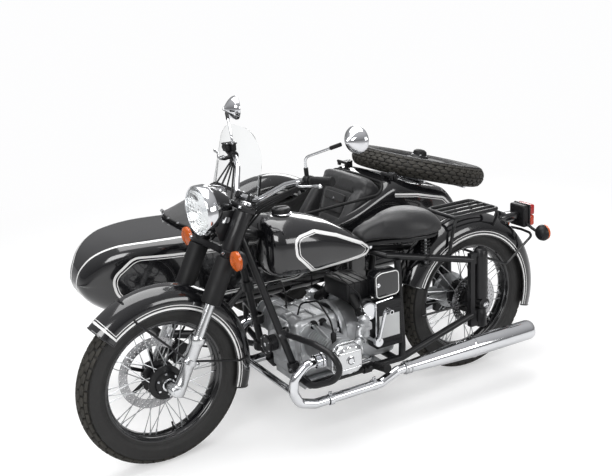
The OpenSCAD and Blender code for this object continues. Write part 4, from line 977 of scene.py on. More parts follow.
parts = Parts()
for way in (-1, 1):
    spot = fork(LEG_X, way * 0.196, 0.550)
    lens(parts, facing(spot, TURN.to_3x3() @ Vector((1, 0, 0))), AMBER)
    parts.add(tube([fork(LEG_X, way * 0.1435, 0.550), fork(LEG_X, way * 0.175, 0.550)], 0.0075, 14), PLASTIC)
    parts.add(lathe([(0.0075, 0), (0.013, 0), (0.013, 0.006), (0.0075, 0.008)], 20), CHROME,
              facing(fork(LEG_X, way * 0.1435, 0.550), LEFT_FORK * way))
parts.done("front_lamp_lenses", FORK, "amber_lens", "front_indicators")

# ---- Tank and saddle -----------------------------------------------------------------------

# Down the tank: [x, top, bottom, half width, height of the widest line as a share]
TANK = [(0.538, 0.702, 0.674, 0.030, 0.5), (0.548, 0.719, 0.669, 0.062, 0.45), (0.580, 0.744, 0.667, 0.088, 0.42),
        (0.640, 0.792, 0.666, 0.110, 0.4), (0.700, 0.832, 0.665, 0.121, 0.4), (0.760, 0.863, 0.665, 0.130, 0.42),
        (0.850, 0.893, 0.665, 0.143, 0.45), (0.930, 0.909, 0.667, 0.148, 0.47), (0.990, 0.911, 0.672, 0.144, 0.5),
        (1.022, 0.900, 0.682, 0.130, 0.5),
        (1.040, 0.876, 0.700, 0.104, 0.5), (1.048, 0.840, 0.735, 0.060, 0.5)]
rows = []
for x in stations(TANK[0][0], TANK[-1][0], 48):
    top, low, half, share = (curve(x, [(r[0], r[k]) for r in TANK]) for k in (1, 2, 3, 4))
    wide = low + (top - low) * share
    row = []
    for k in range(48):
        a = 2 * math.pi * k / 48
        c, s = math.cos(a), math.sin(a)
        power = 0.80 if s > 0 else 0.46
        y = half * math.copysign(abs(c) ** (0.86 if s > 0 else 0.5), c)
        z = wide + (top - wide if s > 0 else wide - low) * math.copysign(abs(s) ** power, s)
        row.append(at(x, y, z))
    rows.append(row)
shell = Parts().add(grid(rows, closed=True, capped=True), GLOSS).mesh("fuel_tank_shell", 60)
notch = Parts().add(block((-0.3, -0.025, 0), (0.60, 0.025, 0.075), 0.01), GLOSS,
                    stood(0.6, 0, 0.655)).mesh("notch")
head = Parts().add(rod(fork(0, 0, 0.40), fork(0, 0, 0.80), 0.060, 32), GLOSS).mesh("head")
CAP = at(0.926, 0, 0.903)


def cut(piece, tool, mode="DIFFERENCE"):
    """Cuts a piece with a tool and removes the tool."""
    boolean = piece.modifiers.new("cut", "BOOLEAN")
    boolean.operation = mode
    boolean.object = tool
    boolean.solver = "EXACT"
    boolean.material_mode = "TRANSFER"
    settle(piece)
    bpy.data.objects.remove(tool)
    return piece


cut(shell, notch)
cut(shell, head)
placed(shell, BODY, "gloss_black", "fuel_tank")
parts = Parts()
for way in (-1, 1):
    panel = bend([at(x, way * 0.3, z) for x, z in
                  ((0.850, 0.846), (0.948, 0.838), (0.945, 0.765), (0.866, 0.682), (0.590, 0.690), (0.560, 0.705),
                   (0.600, 0.737), (0.740, 0.806), (0.850, 0.846))], 0.040, 10)
    parts.add(strip(shell, panel, (0, -way, 0), 0.0105), WHITE)
    inner = [p + (at(0.80, way * 0.3, 0.755) - p) * 0.10 for p in panel]
    parts.add(strip(shell, inner, (0, -way, 0), 0.0028), WHITE)
parts.done("tank_lines", BODY, "gloss_black")

parts = Parts()
cap = Matrix.Translation(CAP)
parts.add(lathe([(0, -0.004), (0.043, -0.004), (0.043, 0.004), (0.039, 0.007), (0.036, 0.008)], 48), CHROME, cap)
ribbed = []
for z, r in ((0.006, 0.038), (0.020, 0.038), (0.024, 0.036)):
    ribbed.append([(s * math.cos(a), s * math.sin(a), z)
                   for a, s in ((math.pi * k / 48, r - 0.0012 * (k % 2)) for k in range(96))])
parts.add(grid(ribbed, closed=True), PLASTIC, cap)
parts.add(lathe([(0.036, 0.024), (0.033, 0.027), (0.018, 0.029), (0, 0.0295)], 48), PLASTIC, cap)
parts.add(block((-0.028, -0.005, 0.027), (0.028, 0.005, 0.032), 0.002), PLASTIC, cap)
parts.done("fuel_cap_ribbed", BODY, "black_plastic", "fuel_cap")


def soften(piece, voxel, cap):
    """Puffs a closed form up like filled cloth, moving no point by more than cap."""
    remesh = piece.modifiers.new("remesh", "REMESH")
    remesh.mode = "VOXEL"
    remesh.voxel_size = voxel
    settle(piece, 0)
    scene = bpy.context.scene
    rest = np.array([v.co for v in piece.data.vertices])
    cloth = piece.modifiers.new("cloth", "CLOTH")
    cloth.settings.use_pressure = True
    cloth.settings.uniform_pressure_force = 4
    cloth.settings.effector_weights.gravity = 0
    cloth.point_cache.frame_end = 20
    for step in range(1, 21):
        scene.frame_set(step)
    puffed = piece.evaluated_get(bpy.context.evaluated_depsgraph_get()).data
    move = np.array([v.co for v in puffed.vertices]) - rest
    size = np.linalg.norm(move, axis=1)
    move *= np.minimum(1, cap / np.maximum(size, 1e-9))[:, None]
    piece.modifiers.clear()
    piece.data.vertices.foreach_set("co", (rest + move).ravel())
    scene.frame_set(1)
    smooth = piece.modifiers.new("smooth", "SMOOTH")
    smooth.iterations = 4
    more = piece.modifiers.new("more", "SUBSURF")
    more.levels = more.render_levels = 1
    return settle(piece, 0)


def groove(piece, distance, depth, width):
    """Presses a seam into a piece: distance(point) is how far a point is from the seam."""
    normals = [v.normal.copy() for v in piece.data.vertices]
    for v, n in zip(piece.data.vertices, normals):
        d = distance(v.co)
        if abs(d) < 3 * width:
            v.co -= n * depth * math.exp(-(d / width) ** 2)
    piece.data.update()


# Down the saddle: [x, half width, top, bottom at the rim]
SEAT = [(0.170, 0.060, 0.745, 0.722), (0.185, 0.092, 0.768, 0.714), (0.225, 0.116, 0.797, 0.711),
        (0.280, 0.124, 0.813, 0.710), (0.345, 0.118, 0.820, 0.711), (0.410, 0.095, 0.814, 0.714),
        (0.470, 0.066, 0.797, 0.718), (0.530, 0.050, 0.783, 0.720), (0.572, 0.042, 0.772, 0.722),
        (0.586, 0.024, 0.762, 0.728)]
rows = []
for x in stations(SEAT[0][0], SEAT[-1][0], 36):
    half, top, low = (curve(x, [(r[0], r[k]) for r in SEAT]) for k in (1, 2, 3))
    row = []
    for k in range(36):
        a = 2 * math.pi * k / 36
        c, s = math.cos(a), math.sin(a)
        y = half * math.copysign(abs(c) ** 0.9, c)
        z = low + 0.010 + (top - low - 0.010) * max(s, 0) ** 0.85 - 0.010 * max(-s, 0) ** 0.4
        row.append(at(x, y, z))
    rows.append(row)
saddle = Parts().add(grid(rows, closed=True, capped=True), SADDLE).mesh("saddle_cushion", 60)
soften(saddle, 0.006, 0.006)
groove(saddle, lambda p: p.z - 0.7265 - 0.05 * max(0, p.x - BASE.x - 0.5), 0.002, 0.003)
placed(saddle, BODY, "saddle_vinyl", "rider_saddle")


def coil(low, high, radius, turns, wire):
    """A spring from low to high."""
    count = 14 * turns
    way = (high - low).normalized()
    side = way.orthogonal().normalized()
    other = way.cross(side)
    return tube([low + (high - low) * (i / count)
                 + (side * math.cos(2 * math.pi * i / 14) + other * math.sin(2 * math.pi * i / 14)) * radius
                 for i in range(count + 1)], wire, 8)


parts = Parts()
pan = [(0.190, 0), (0.200, 0.080), (0.240, 0.108), (0.300, 0.112), (0.380, 0.095), (0.470, 0.055), (0.560, 0.034),
       (0.575, 0)]
pan += [(x, -y) for x, y in reversed(pan[1:-1])]
parts.add(plate(pan, 0.698, 0.7125, 0.003), SATIN, GROUND)
for way in (-1, 1):
    low, high = at(0.284, way * 0.096, 0.585), at(0.284, way * 0.096, 0.700)
    parts.add(coil(low, high, 0.018, 8, 0.0034), SATIN)
    parts.add(rod(low - Vector((0, 0, 0.012)), high, 0.006), STEEL)
    parts.add(lathe([(0, -0.012), (0.021, -0.010), (0.021, -0.004), (0, -0.003)], 28), SATIN, Matrix.Translation(low))
parts.add(block((0.506, -0.012, 0.672), (0.534, 0.012, 0.700), 0.003), SATIN, GROUND)
parts.add(rod(at(0.52, -0.026, 0.688), at(0.52, 0.026, 0.688), 0.007), CHROME)
parts.done("saddle_springs", BODY, "satin_black", "saddle_pan")

# ---- Sidecar body ----------------------------------------------------------------------------

TUB_Y = -0.658
TUB_WIDE = [(-0.372, 0.205), (-0.30, 0.232), (-0.15, 0.262), (0.10, 0.268), (1.0, 0.268), (1.2, 0.258), (1.35, 0.232),
            (1.46, 0.196), (1.54, 0.156), (1.585, 0.118), (1.601, 0.088), (1.608, 0.055)]
TUB_TOP = [(-0.372, 0.50), (-0.365, 0.56), (-0.34, 0.63), (-0.30, 0.69), (-0.25, 0.735), (-0.214, 0.750),
           (-0.05, 0.797), (0.086, 0.835), (0.15, 0.812), (0.30, 0.745), (0.40, 0.716), (0.50, 0.703), (0.65, 0.710),
           (0.80, 0.727), (1.0, 0.748), (1.13, 0.760), (1.30, 0.768), (1.42, 0.762), (1.50, 0.738), (1.55, 0.705),
           (1.585, 0.658), (1.602, 0.618), (1.608, 0.59)]


def tub_low(x):
    """The sidecar body's lowest line, which sweeps up to the nose."""
    share = max(0, x - 1.15) / 0.46
    return 0.600 - 0.235 * math.sqrt(max(0, 1 - share ** 2.1))


def tub_ring(x, inset):
    """A section of the sidecar body: crowned deck, round shoulders, sides that pull in, round bilges."""
    half = max(curve(x, TUB_WIDE) - inset, 0.01)
    top, low = curve(x, TUB_TOP) - inset, tub_low(x) + inset
    tall = max(top - low, 0.012)
    shoulder, bilge = min(0.060, 0.42 * tall, 0.7 * half), min(0.125, 0.42 * tall, 0.7 * half)
    lean, under, crown = min(0.012, half / 8), min(0.022, half / 6), min(0.012, tall / 10)
    side = [(half - lean - shoulder) * i / 8 for i in range(8)]
    ring = [(y, top - crown * (y / half) ** 2) for y in side]
    base = top - crown * ((half - lean - shoulder) / half) ** 2
    ring += [(half - lean - shoulder + shoulder * math.sin(a), base - shoulder + shoulder * math.cos(a))
             for a in (math.pi / 2 * i / 9 for i in range(10))]
    high, foot = base - shoulder, low + bilge
    ring += [(half - lean * (1 - t) - under * t + 4 * t * (1 - t) * 0.006, high + (foot - high) * t)
             for t in (i / 7 for i in range(1, 7))]
    ring += [(half - under - bilge + bilge * math.cos(a), low + bilge - bilge * math.sin(a))
             for a in (math.pi / 2 * i / 9 for i in range(10))]
    ring += [((half - under - bilge) * (1 - i / 5), low) for i in range(1, 5)]
    return [at(x, TUB_Y + y, z) for y, z in ring] + [at(x, TUB_Y - y, z) for y, z in [(0, low)] + ring[:0:-1]]


def tub_form(name, look, inset=0.0):
    """The whole sidecar body, closed, pulled in by inset."""
    rings = [tub_ring(x, inset) for x in stations(TUB_WIDE[0][0] + inset, TUB_WIDE[-1][0] - inset, 90)]
    return Parts().add(grid(rings, closed=True, capped=True), look).mesh(name, 40)


def closed_bend(points, radius):
    """The outline through points with every corner rounded."""
    start = (Vector(points[0]) + Vector(points[-1])) / 2
    return bend([start] + list(points) + [start], radius, 8)[:-1]


COCKPIT = [(x, y, 0) for x, y in ((0.128, -0.240), (1.030, -0.232), (1.080, -0.080), (1.080, 0.080), (1.030, 0.232),
                                  (0.128, 0.240))]
cockpit = closed_bend(COCKPIT, 0.055)


def tub_inside(name):
    """The hollow of the body, parted by the wall behind the seat."""
    inside = tub_form(name, CARPET, 0.012)
    wall = Parts().add(block((0.098, -0.4, 0), (0.110, 0.4, 1), 0.0005), CARPET,
                       stood(0, TUB_Y, 0.1)).mesh("wall")
    return cut(inside, wall)


def lid_zone(name, gap):
    """The block of the body that opens with the lid, smaller by gap."""
    return Parts().add(block((-0.6, -0.226 + gap, 0.566 + gap), (0.074 - gap, 0.226 - gap, 1.2), 0.018, 4), GLOSS,
                       stood(0, TUB_Y, 0)).mesh(name)


tub = cut(tub_form("sidecar_body_shell", GLOSS), tub_inside("inside"))
opening = Parts().add(plate([(p.x, p.y) for p in cockpit], 0.515, 1.1, 0), CARPET,
                      stood(0, TUB_Y, 0)).mesh("opening")
cut(tub, opening)
whole = tub_form("whole_body", GLOSS)
cut(tub, lid_zone("zone", 0))
placed(tub, BODY, "gloss_black", "sidecar_tub")

lid = cut(tub_form("trunk_lid_shell", GLOSS), tub_inside("inside"))
cut(lid, lid_zone("zone", 0.006), "INTERSECT")
placed(lid, LID, "gloss_black", "trunk_lid")

parts = Parts()
for way in (-1, 1):
    hinge = stood(0.088, TUB_Y + way * 0.197, 0.849)
    parts.add(lathe([(0, -0.022), (0.0065, -0.022), (0.0075, -0.019), (0.0075, 0.019), (0.0065, 0.022), (0, 0.022)],
                    24), SATIN, hinge @ UPRIGHT)
    parts.add(plate([(-0.052, -0.014), (-0.046, -0.021), (0, -0.021), (0, 0.021), (-0.046, 0.021), (-0.052, 0.014)],
                    -0.004, 0.003, 0.001), SATIN, hinge)
    for x, y in ((-0.042, 0), (-0.026, -0.011), (-0.026, 0.011)):
        parts.add(bolt(0.0032, 0.003), CHROME, hinge @ shift(x, y, 0.003))
    parts.add(block((-0.048, -0.02, -0.030), (-0.028, 0.02, -0.003), 0.003), SATIN, hinge)
latch = at(-0.333, TUB_Y, 0.655)
out = Vector((-0.85, 0, 0.52)).normalized()
parts.add(lathe([(0, 0), (0.020, 0), (0.020, 0.003), (0.012, 0.006), (0.008, 0.014), (0, 0.014)], 28), CHROME,
          facing(latch, out))
parts.add(tube([latch + out * 0.014 + Vector((0, y, 0)) for y in (-0.03, -0.01, 0.01, 0.03)],
               lambda t: 0.0055 - 0.002 * abs(2 * t - 1), 12), CHROME)
parts.done("lid_hinges", LID, "satin_black")

parts = Parts()
for way in (-1, 1):
    for side in (-1, 1):
        hinge = stood(0.088, TUB_Y + way * 0.197 + side * 0.0335, 0.849)
        parts.add(drum(0.0075, -0.011, 0.011, 24), SATIN, hinge @ UPRIGHT)
        parts.add(block((-0.006, -0.010, -0.020), (0.006, 0.010, 0), 0.002), SATIN, hinge)
tree = BVHTree.FromObject(whole, bpy.context.evaluated_depsgraph_get())
bead = []
for p in cockpit:
    spot = at(p.x + 0.002 * (1 if p.x > 0.6 else -1), TUB_Y + p.y * 1.012, 1.3)
    bead.append(tree.ray_cast(spot, Vector((0, 0, -1)))[0] + Vector((0, 0, 0.001)))
parts.add(tube(bead, 0.0075, 12, closed=True), RUBBER)
parts.done("cockpit_bead", BODY, "rubber")


def side_line(way, *corners):
    """Corners of a line on the sidecar's side, as (x, z), out beyond the body."""
    return [at(x, TUB_Y + way * 0.5, z) for x, z in corners]


parts = Parts()
NOSE = at(1.2, TUB_Y, 0.56)
SPREAD = [(-75, 0.030), (0, 0.032), (10, 0.044), (20, 0.080), (32, 0.130), (45, 0.172), (60, 0.195), (80, 0.206),
          (112, 0.210)]
for way in (-1, 1):
    path = []
    for i in range(121):
        turn = -75 + 187 * i / 120
        a = math.radians(turn)
        path.append(NOSE + Vector((0.6 * math.cos(a), way * curve(turn, SPREAD), 0.6 * math.sin(a))))
    parts.add(strip(whole, path, lambda p: Vector((NOSE.x - p.x, 0, NOSE.z - p.z)), 0.0105), WHITE)
    loop = closed_bend(side_line(way, (0.60, 0.655), (1.200, 0.690), (1.400, 0.702), (1.492, 0.620), (1.470, 0.520),
                                 (1.300, 0.470), (0.62, 0.455), (0.55, 0.55)), 0.07)
    loop.append(loop[0])
    parts.add(strip(whole, loop, (0, -way, 0), 0.0095), WHITE)
    middle = at(1.02, TUB_Y + way * 0.5, 0.575)
    inner = [Vector((middle.x + (p.x - middle.x) * 0.975, p.y, middle.z + (p.z - middle.z) * 0.90)) for p in loop]
    parts.add(strip(whole, inner, (0, -way, 0), 0.0030), WHITE)
    trunk = bend(side_line(way, (0.085, 0.762), (-0.05, 0.739), (-0.222, 0.692), (-0.298, 0.620), (-0.304, 0.520)),
                 0.06)
    parts.add(strip(whole, trunk, (0, -way, 0), 0.0095), WHITE)
    inner = bend(side_line(way, (0.085, 0.750), (-0.05, 0.727), (-0.214, 0.682), (-0.286, 0.614), (-0.292, 0.520)),
                 0.055)
    parts.add(strip(whole, inner, (0, -way, 0), 0.0030), WHITE)
parts.done("sidecar_lines", BODY, "gloss_black")
bpy.data.objects.remove(whole)


def eased(count):
    """Steps from -1 to 1 that close up towards both ends."""
    return [math.sin(math.pi * (k / count - 0.5)) for k in range(count + 1)]


def rounded_box(half, power=0.35, count=28):
    """A box with very round edges, centred on zero."""
    rows = []
    for i in range(count + 1):
        b = math.pi * (i / count - 0.5)
        row = []
        for k in range(2 * count):
            a = math.pi * k / count
            flat, up = abs(math.cos(b)) ** power, math.copysign(abs(math.sin(b)) ** power, math.sin(b))
            row.append((half[0] * flat * math.copysign(abs(math.cos(a)) ** power, math.cos(a)),
                        half[1] * flat * math.copysign(abs(math.sin(a)) ** power, math.sin(a)), half[2] * up))
        rows.append(row)
    return grid(rows[1:-1], closed=True, capped=True)


UP_SEAT = Vector((-0.300, 0, 0.954)).normalized()
SEAT_BACK = basis(Vector((UP_SEAT.z, 0, -UP_SEAT.x)), Vector((0, 1, 0)), UP_SEAT, at(0.226, TUB_Y, 0.632))
parts = Parts()
parts.add(rounded_box((0.050, 0.205, 0.200), 0.22), VINYL, SEAT_BACK)
parts.add(rounded_box((0.046, 0.200, 0.050), 0.5), VINYL, SEAT_BACK @ shift(0.012, 0, 0.168))
parts.add(rounded_box((0.030, 0.120, 0.070), 0.4), VINYL, SEAT_BACK @ shift(0.030, 0, 0.064))
parts.add(rounded_box((0.030, 0.120, 0.075), 0.4), VINYL, SEAT_BACK @ shift(0.034, 0, -0.080))
for way in (-1, 1):
    wing = SEAT_BACK @ shift(0.060, way * 0.172, 0.000) @ Matrix.Rotation(-0.32, 4, "Y")
    parts.add(rounded_box((0.062, 0.036, 0.150), 0.5), VINYL, wing)
back = parts.mesh("seat_back", 0)
soften(back, 0.006, 0.006)
inverse = SEAT_BACK.inverted()


def seat_seam(p):
    """How far a point of the seat back is from its nearest sewn line."""
    q = inverse @ p
    if q.x < 0.01:
        return 1.0
    inner = abs(q.y) < 0.128
    lines = [q.z - 0.128 if inner else 1.0, (abs(q.y) - 0.128) if q.z < 0.15 else 1.0, q.z + 0.008 if inner else 1.0]
    return min(lines, key=abs)


groove(back, seat_seam, 0.005, 0.0045)
placed(back, BODY, "seat_vinyl", "sidecar_seat")

parts = Parts()
parts.add(rounded_box((0.170, 0.183, 0.056), 0.26), VINYL, stood(0.487, TUB_Y, 0.4365))
base = parts.mesh("seat_base", 0)
soften(base, 0.006, 0.006)
groove(base, lambda p: min((abs(p.y - at(0, TUB_Y, 0).y) - 0.130, p.x - at(0.40, 0, 0).x, p.x - at(0.48, 0, 0).x,
                            p.x - at(0.56, 0, 0).x), key=abs) if p.z > 0.45 else 1.0, 0.004, 0.004)
placed(base, BODY, "seat_vinyl", "sidecar_seat")

parts = Parts()
pocket = SEAT_BACK @ shift(0.064, 0, 0.058)
parts.add(rounded_box((0.008, 0.088, 0.044), 0.25, 14), VINYL, pocket)
parts.add(rounded_box((0.005, 0.091, 0.020), 0.3, 14), VINYL, pocket @ shift(0.007, 0, 0.030))
parts.add(lathe([(0, 0), (0.006, 0), (0.005, 0.003), (0, 0.0035)], 20), CHROME,
          facing(pocket @ Vector((0.0115, 0, 0.020)), Vector((UP_SEAT.z, 0, -UP_SEAT.x))))
pad = parts.mesh("seat_pocket", 40)
placed(pad, BODY, "seat_vinyl")

# ---- Apron and screen ------------------------------------------------------------------------

SHEET_HALF = 0.236


def rim_top(x):
    """The height of the deck under the apron's edge."""
    return curve(x, TUB_TOP) - 0.004


def apron_point(t, u):
    """t runs from the foot to the fold, u across from -1 to 1."""
    x = (1.128 - 0.050 * u * u) * (1 - t) + (0.868 - 0.035 * u * u) * t
    rim = rim_top(x) + 0.003
    ridge = 0.767 + (0.884 - 0.767) * t ** 0.92
    bow = (1 - abs(u) ** 2.8) ** (1 / 2.4)
    fold = 0.0022 * math.sin(9 * u + 5 * t) * (1 - abs(u)) * math.sin(math.pi * t)
    return at(x, TUB_Y + SHEET_HALF * math.copysign(1 - (1 - abs(u)) ** 1.15, u), rim + (ridge - rim) * bow + fold)


rows = [[apron_point(i / 30, u) for u in eased(56)] for i in range(31)]
apron = Parts().add(grid(rows), HOOD).mesh("apron_sheet", 0)
thicken(apron, 0.0022, 0)
placed(apron, BODY, "hood_cloth", "sidecar_apron")

STUD = lathe([(0, 0), (0.007, 0), (0.006, 0.003), (0, 0.004)], 18)
parts = Parts()
foot = [apron_point(0, u) + Vector((0.002, 0, 0.003)) for u in eased(40)]
parts.add(tube(foot, 0.0050, 10), RUBBER)
for k in range(3, 39, 5):
    parts.add(STUD, STEEL,
              facing(foot[k] + Vector((0.004, 0, 0.004)), (0.3, 0, 1)))
for way in (-1, 1):
    hem = [apron_point(t / 20, way * 0.9985) for t in range(21)]
    parts.add(tube(hem, 0.0042, 8), RUBBER)
    for t in (4, 10, 16):
        parts.add(STUD, STEEL,
                  facing(apron_point(t / 20, way * 0.975) + Vector((0, way * 0.002, 0)), (0, way, 0.25)))
fold_line = [apron_point(1, u) for u in eased(40)]
parts.add(tube(fold_line, 0.0048, 10), SATIN)
parts.done("apron_edges", BODY, "rubber")


def screen_point(t, u):
    """t runs up the screen, u across from -1 to 1."""
    top = 1.0 - 0.30 * max(0, (abs(u) - 0.15) / 0.85) ** 2.6
    rise = t * top
    x = 0.864 - 0.090 * rise - 0.040 * u * u * (1 - 0.3 * rise)
    y = TUB_Y + u * (SHEET_HALF - 0.004 - 0.020 * rise)
    start = apron_point(1, u)
    low = start.z + 0.004
    return at(x, y, low + (1.156 - low) * rise)


rows = [[screen_point(i / 24, k / 24 - 1) for k in range(49)] for i in range(25)]
screen = Parts().add(grid(rows), CLEAR).mesh("screen_sheet", 0)
thicken(screen, 0.003, 60)
placed(screen, BODY, "clear_screen", "sidecar_screen")

parts = Parts()
for way in (-1, 1):
    side = [screen_point(t / 30, way) for t in range(0, 24)]
    parts.add(tube(side, 0.0042, 10), PLASTIC)
    parts.add(tube([p + Vector((0.004, -way * 0.010, 0)) for p in side], 0.0026, 8), STEEL)
    for t in (3, 18):
        parts.add(bolt(0.0034, 0.004), CHROME, facing(side[t] + Vector((0.004, -way * 0.004, 0)), (1, 0, 0.3)))
parts.add(tube([screen_point(0.0, k / 20 - 1) + Vector((0, 0, 0.003)) for k in range(41)], 0.0045, 10), PLASTIC)
parts.done("screen_edges", BODY, "black_plastic")

# ---- Engine ----------------------------------------------------------------------------------

ENGINE_X, ENGINE_Z = 0.845, 0.368

parts = Parts()
case = stood(ENGINE_X, 0, ENGINE_Z)
parts.add(block((-0.105, -0.108, -0.150), (0.107, 0.108, 0.106), 0.030, 5), CAST, case)
parts.add(block((-0.090, -0.118, -0.189), (0.086, 0.118, -0.152), 0.010, 3), CAST, case)
for k in range(9):
    parts.add(block((-0.088 + 0.021 * k, -0.122, -0.187), (-0.083 + 0.021 * k, 0.122, -0.154), 0.0015), CAST, case)
parts.add(lathe([(0, 0.146), (0.052, 0.145), (0.060, 0.138), (0.084, 0.134), (0.091, 0.126), (0.093, 0.104)], 56),
          CAST, case @ AHEAD)
parts.add(block((0.100, -0.068, 0.010), (0.136, 0.068, 0.100), 0.022, 4), CAST, case)
parts.add(block((0.100, -0.085, -0.135), (0.118, 0.085, 0.060), 0.012, 3), CAST, case)
for p in ring_of(10, 0.083, 0.2):
    parts.add(bolt(0.0045), STEEL, case @ shift(0.130, p.x, p.y) @ AHEAD)
parts.add(lathe([(0.050, -0.02), (0.050, 0.075), (0.045, 0.082), (0, 0.084)], 48), CAST,
          case @ shift(0.02, 0, 0.062) @ AHEAD)
for x in (-0.06, 0.0, 0.06):
    parts.add(tube([case @ Vector((x, y, 0.107)) for y in (-0.085, 0, 0.085)], 0.006, 10), CAST)
bell = stood(ENGINE_X - 0.105, 0, ENGINE_Z - 0.005)
parts.add(lathe([(0.118, 0.0), (0.124, -0.006), (0.124, -0.022), (0.116, -0.030), (0.112, -0.085), (0.104, -0.100),
                 (0.088, -0.110), (0, -0.110)], 64), CAST, bell @ AHEAD)
for p in ring_of(12, 0.118, 0.1):
    parts.add(bolt(0.004), STEEL, bell @ shift(0.0, p.x, p.y) @ AHEAD)
parts.add(block((0.450, -0.094, 0.215), (0.640, 0.094, 0.417), 0.026, 4), CAST, GROUND)
parts.add(block((0.600, -0.080, 0.225), (0.745, 0.080, 0.330), 0.020, 3), CAST, GROUND)
for z in (0.26, 0.30, 0.34, 0.38):
    parts.both(block((0.47, 0.090, z), (0.58, 0.0965, z + 0.005), 0.0015), CAST, GROUND)
parts.both(lathe([(0.044, 0), (0.044, 0.010), (0.038, 0.015), (0.020, 0.016), (0, 0.016)], 40), CAST,
           stood(0.560, 0.094, 0.350) @ UPRIGHT)
for x in (0.855, 0.565):
    parts.add(block((x - 0.016, -0.136, 0.195), (x + 0.016, 0.136, 0.215), 0.006), CAST, GROUND)
for way in (-1, 1):
    flank = case @ shift(0, way * 0.108, 0) @ outward(way)
    parts.add(plate([(-0.088, -0.062), (-0.062, -0.088), (0.062, -0.088), (0.088, -0.062), (0.088, 0.062),
                     (0.062, 0.088), (-0.062, 0.088), (-0.088, 0.062)], -0.004, 0.008, 0.004, 3), CAST, flank)
    for p in ring_of(8, 0.090, math.pi / 8):
        parts.add(lathe([(0.012, -0.002), (0.010, 0.012), (0, 0.012)], 16), CAST, flank @ Matrix.Translation(p))
        parts.add(bolt(0.0048), STEEL, flank @ Matrix.Translation(p + Vector((0, 0, 0.012))))
    for x in (-0.020, 0.024):
        start, end = case @ Vector((x, way * 0.104, 0.082)), case @ Vector((x * 1.3, way * 0.254, 0.052))
        parts.add(rod(start, end, 0.009), STEEL)
        parts.add(lathe([(0.009, 0), (0.018, 0.001), (0.019, 0.010), (0.016, 0.018), (0.010, 0.020)], 24), RUBBER,
                  facing(start, end - start))
parts.done("engine_castings", BODY, "cast_aluminium", "engine_block")

parts = Parts()
for way in (-1, 1):
    barrel = case @ outward(way)
    rib = [(0.056, 0.110), (0.066, 0.110), (0.066, 0.120), (0.056, 0.122)]
    for k in range(9):
        z = 0.1255 + 0.0155 * k
        rib += [(0.056, z), (0.0735, z + 0.0008), (0.0742, z + 0.002), (0.0735, z + 0.0032), (0.056, z + 0.004)]
    parts.add(lathe(rib + [(0.056, 0.262)], 64), CAST, barrel)
    head = [(0.056, 0.258), (0.070, 0.259), (0.071, 0.268), (0.066, 0.270)]
    for k in range(3):
        z = 0.274 + 0.010 * k
        head += [(0.060, z), (0.0725, z + 0.001), (0.0725, z + 0.003), (0.060, z + 0.004)]
    parts.add(lathe(head + [(0.060, 0.303), (0.066, 0.306), (0, 0.306)], 64), CAST, barrel)
    for x in (0.040, -0.060):
        parts.add(rod(case @ Vector((x, way * 0.272, 0)), case @ Vector((x * 1.55, way * 0.272, 0)), 0.024, 24), CAST)
    port = case @ shift(0.079, way * 0.272, 0) @ AHEAD
    parts.add(lathe([(0.022, 0), (0.030, 0.001), (0.031, 0.004), (0.031, 0.012), (0.029, 0.014), (0.021, 0.0145)],
                    12),
              CHROME, port)
    parts.add(rod(case @ Vector((-0.070, way * 0.262, 0.016)), case @ Vector((-0.098, way * 0.268, 0.02)), 0.020,
                  24), CAST)
    plug = case @ shift(0.030, way * 0.276, 0.060)
    parts.add(lathe([(0.009, -0.012), (0.009, 0.010), (0.0115, 0.013), (0.0115, 0.036), (0.008, 0.042), (0, 0.043)],
                    20), RUBBER, plug)
    lead = [plug @ Vector((0, 0, 0.040)), case @ Vector((0.034, way * 0.265, 0.150)),
            case @ Vector((0.020, way * 0.150, 0.195)), case @ Vector((0.05, way * 0.060, 0.165)),
            case @ Vector((0.06, way * 0.045, 0.105))]
    parts.add(tube(bend(lead, 0.04), 0.0038, 8), RUBBER)
parts.done("cylinder_fins", BODY, "cast_aluminium", "cylinders")

parts = Parts()
for way in (-1, 1):
    cover = case @ shift(0, way * 0.3063, 0) @ outward(way)
    outline = closed_bend([(-0.067, -0.044, 0), (-0.040, -0.066, 0), (0.040, -0.066, 0), (0.067, -0.044, 0),
                           (0.067, 0.044, 0), (0.040, 0.066, 0), (-0.040, 0.066, 0), (-0.067, 0.044, 0)], 0.02)
    rim = [(p.x, p.y) for p in outline]
    parts.add(plate(rim, 0, 0.009, 0.002), POLISHED, cover)
    rings = []
    for size, height in ((0.95, 0.008), (0.93, 0.020), (0.88, 0.031), (0.78, 0.038), (0.60, 0.0405), (0.3, 0.041)):
        rings.append([(x * size, y * size, height) for x, y in rim])
    parts.add(grid(rings, closed=True, capped=True), POLISHED, cover)
    for y in (-0.034, 0.034):
        parts.add(block((-0.050, y - 0.0045, 0.030), (0.050, y + 0.0045, 0.0430), 0.0035, 3), POLISHED, cover)
    parts.add(block((-0.013, -0.058, 0.012), (0.013, -0.030, 0.040), 0.008, 3), POLISHED, cover)
    parts.add(block((-0.013, 0.030, 0.012), (0.013, 0.058, 0.040), 0.008, 3), POLISHED, cover)
    parts.add(lathe([(0.019, 0.036), (0.019, 0.0435), (0.0155, 0.0455), (0.0145, 0.0445)], 40), POLISHED, cover)
    parts.add(lathe([(0.0145, 0.0440), (0.012, 0.0440)], 40), RUBBER, cover)
    parts.add(lathe([(0.012, 0.0435), (0.0115, 0.0462), (0, 0.0466)], 40), CHROME, cover)
    for x, y in ((-0.054, -0.050), (0.054, -0.050), (-0.054, 0.050), (0.054, 0.050)):
        parts.add(bolt(0.0042), CHROME, cover @ shift(x, y * 0.98, 0.0085))
parts.done("valve_cover_castings", BODY, "polished_aluminium", "valve_covers")

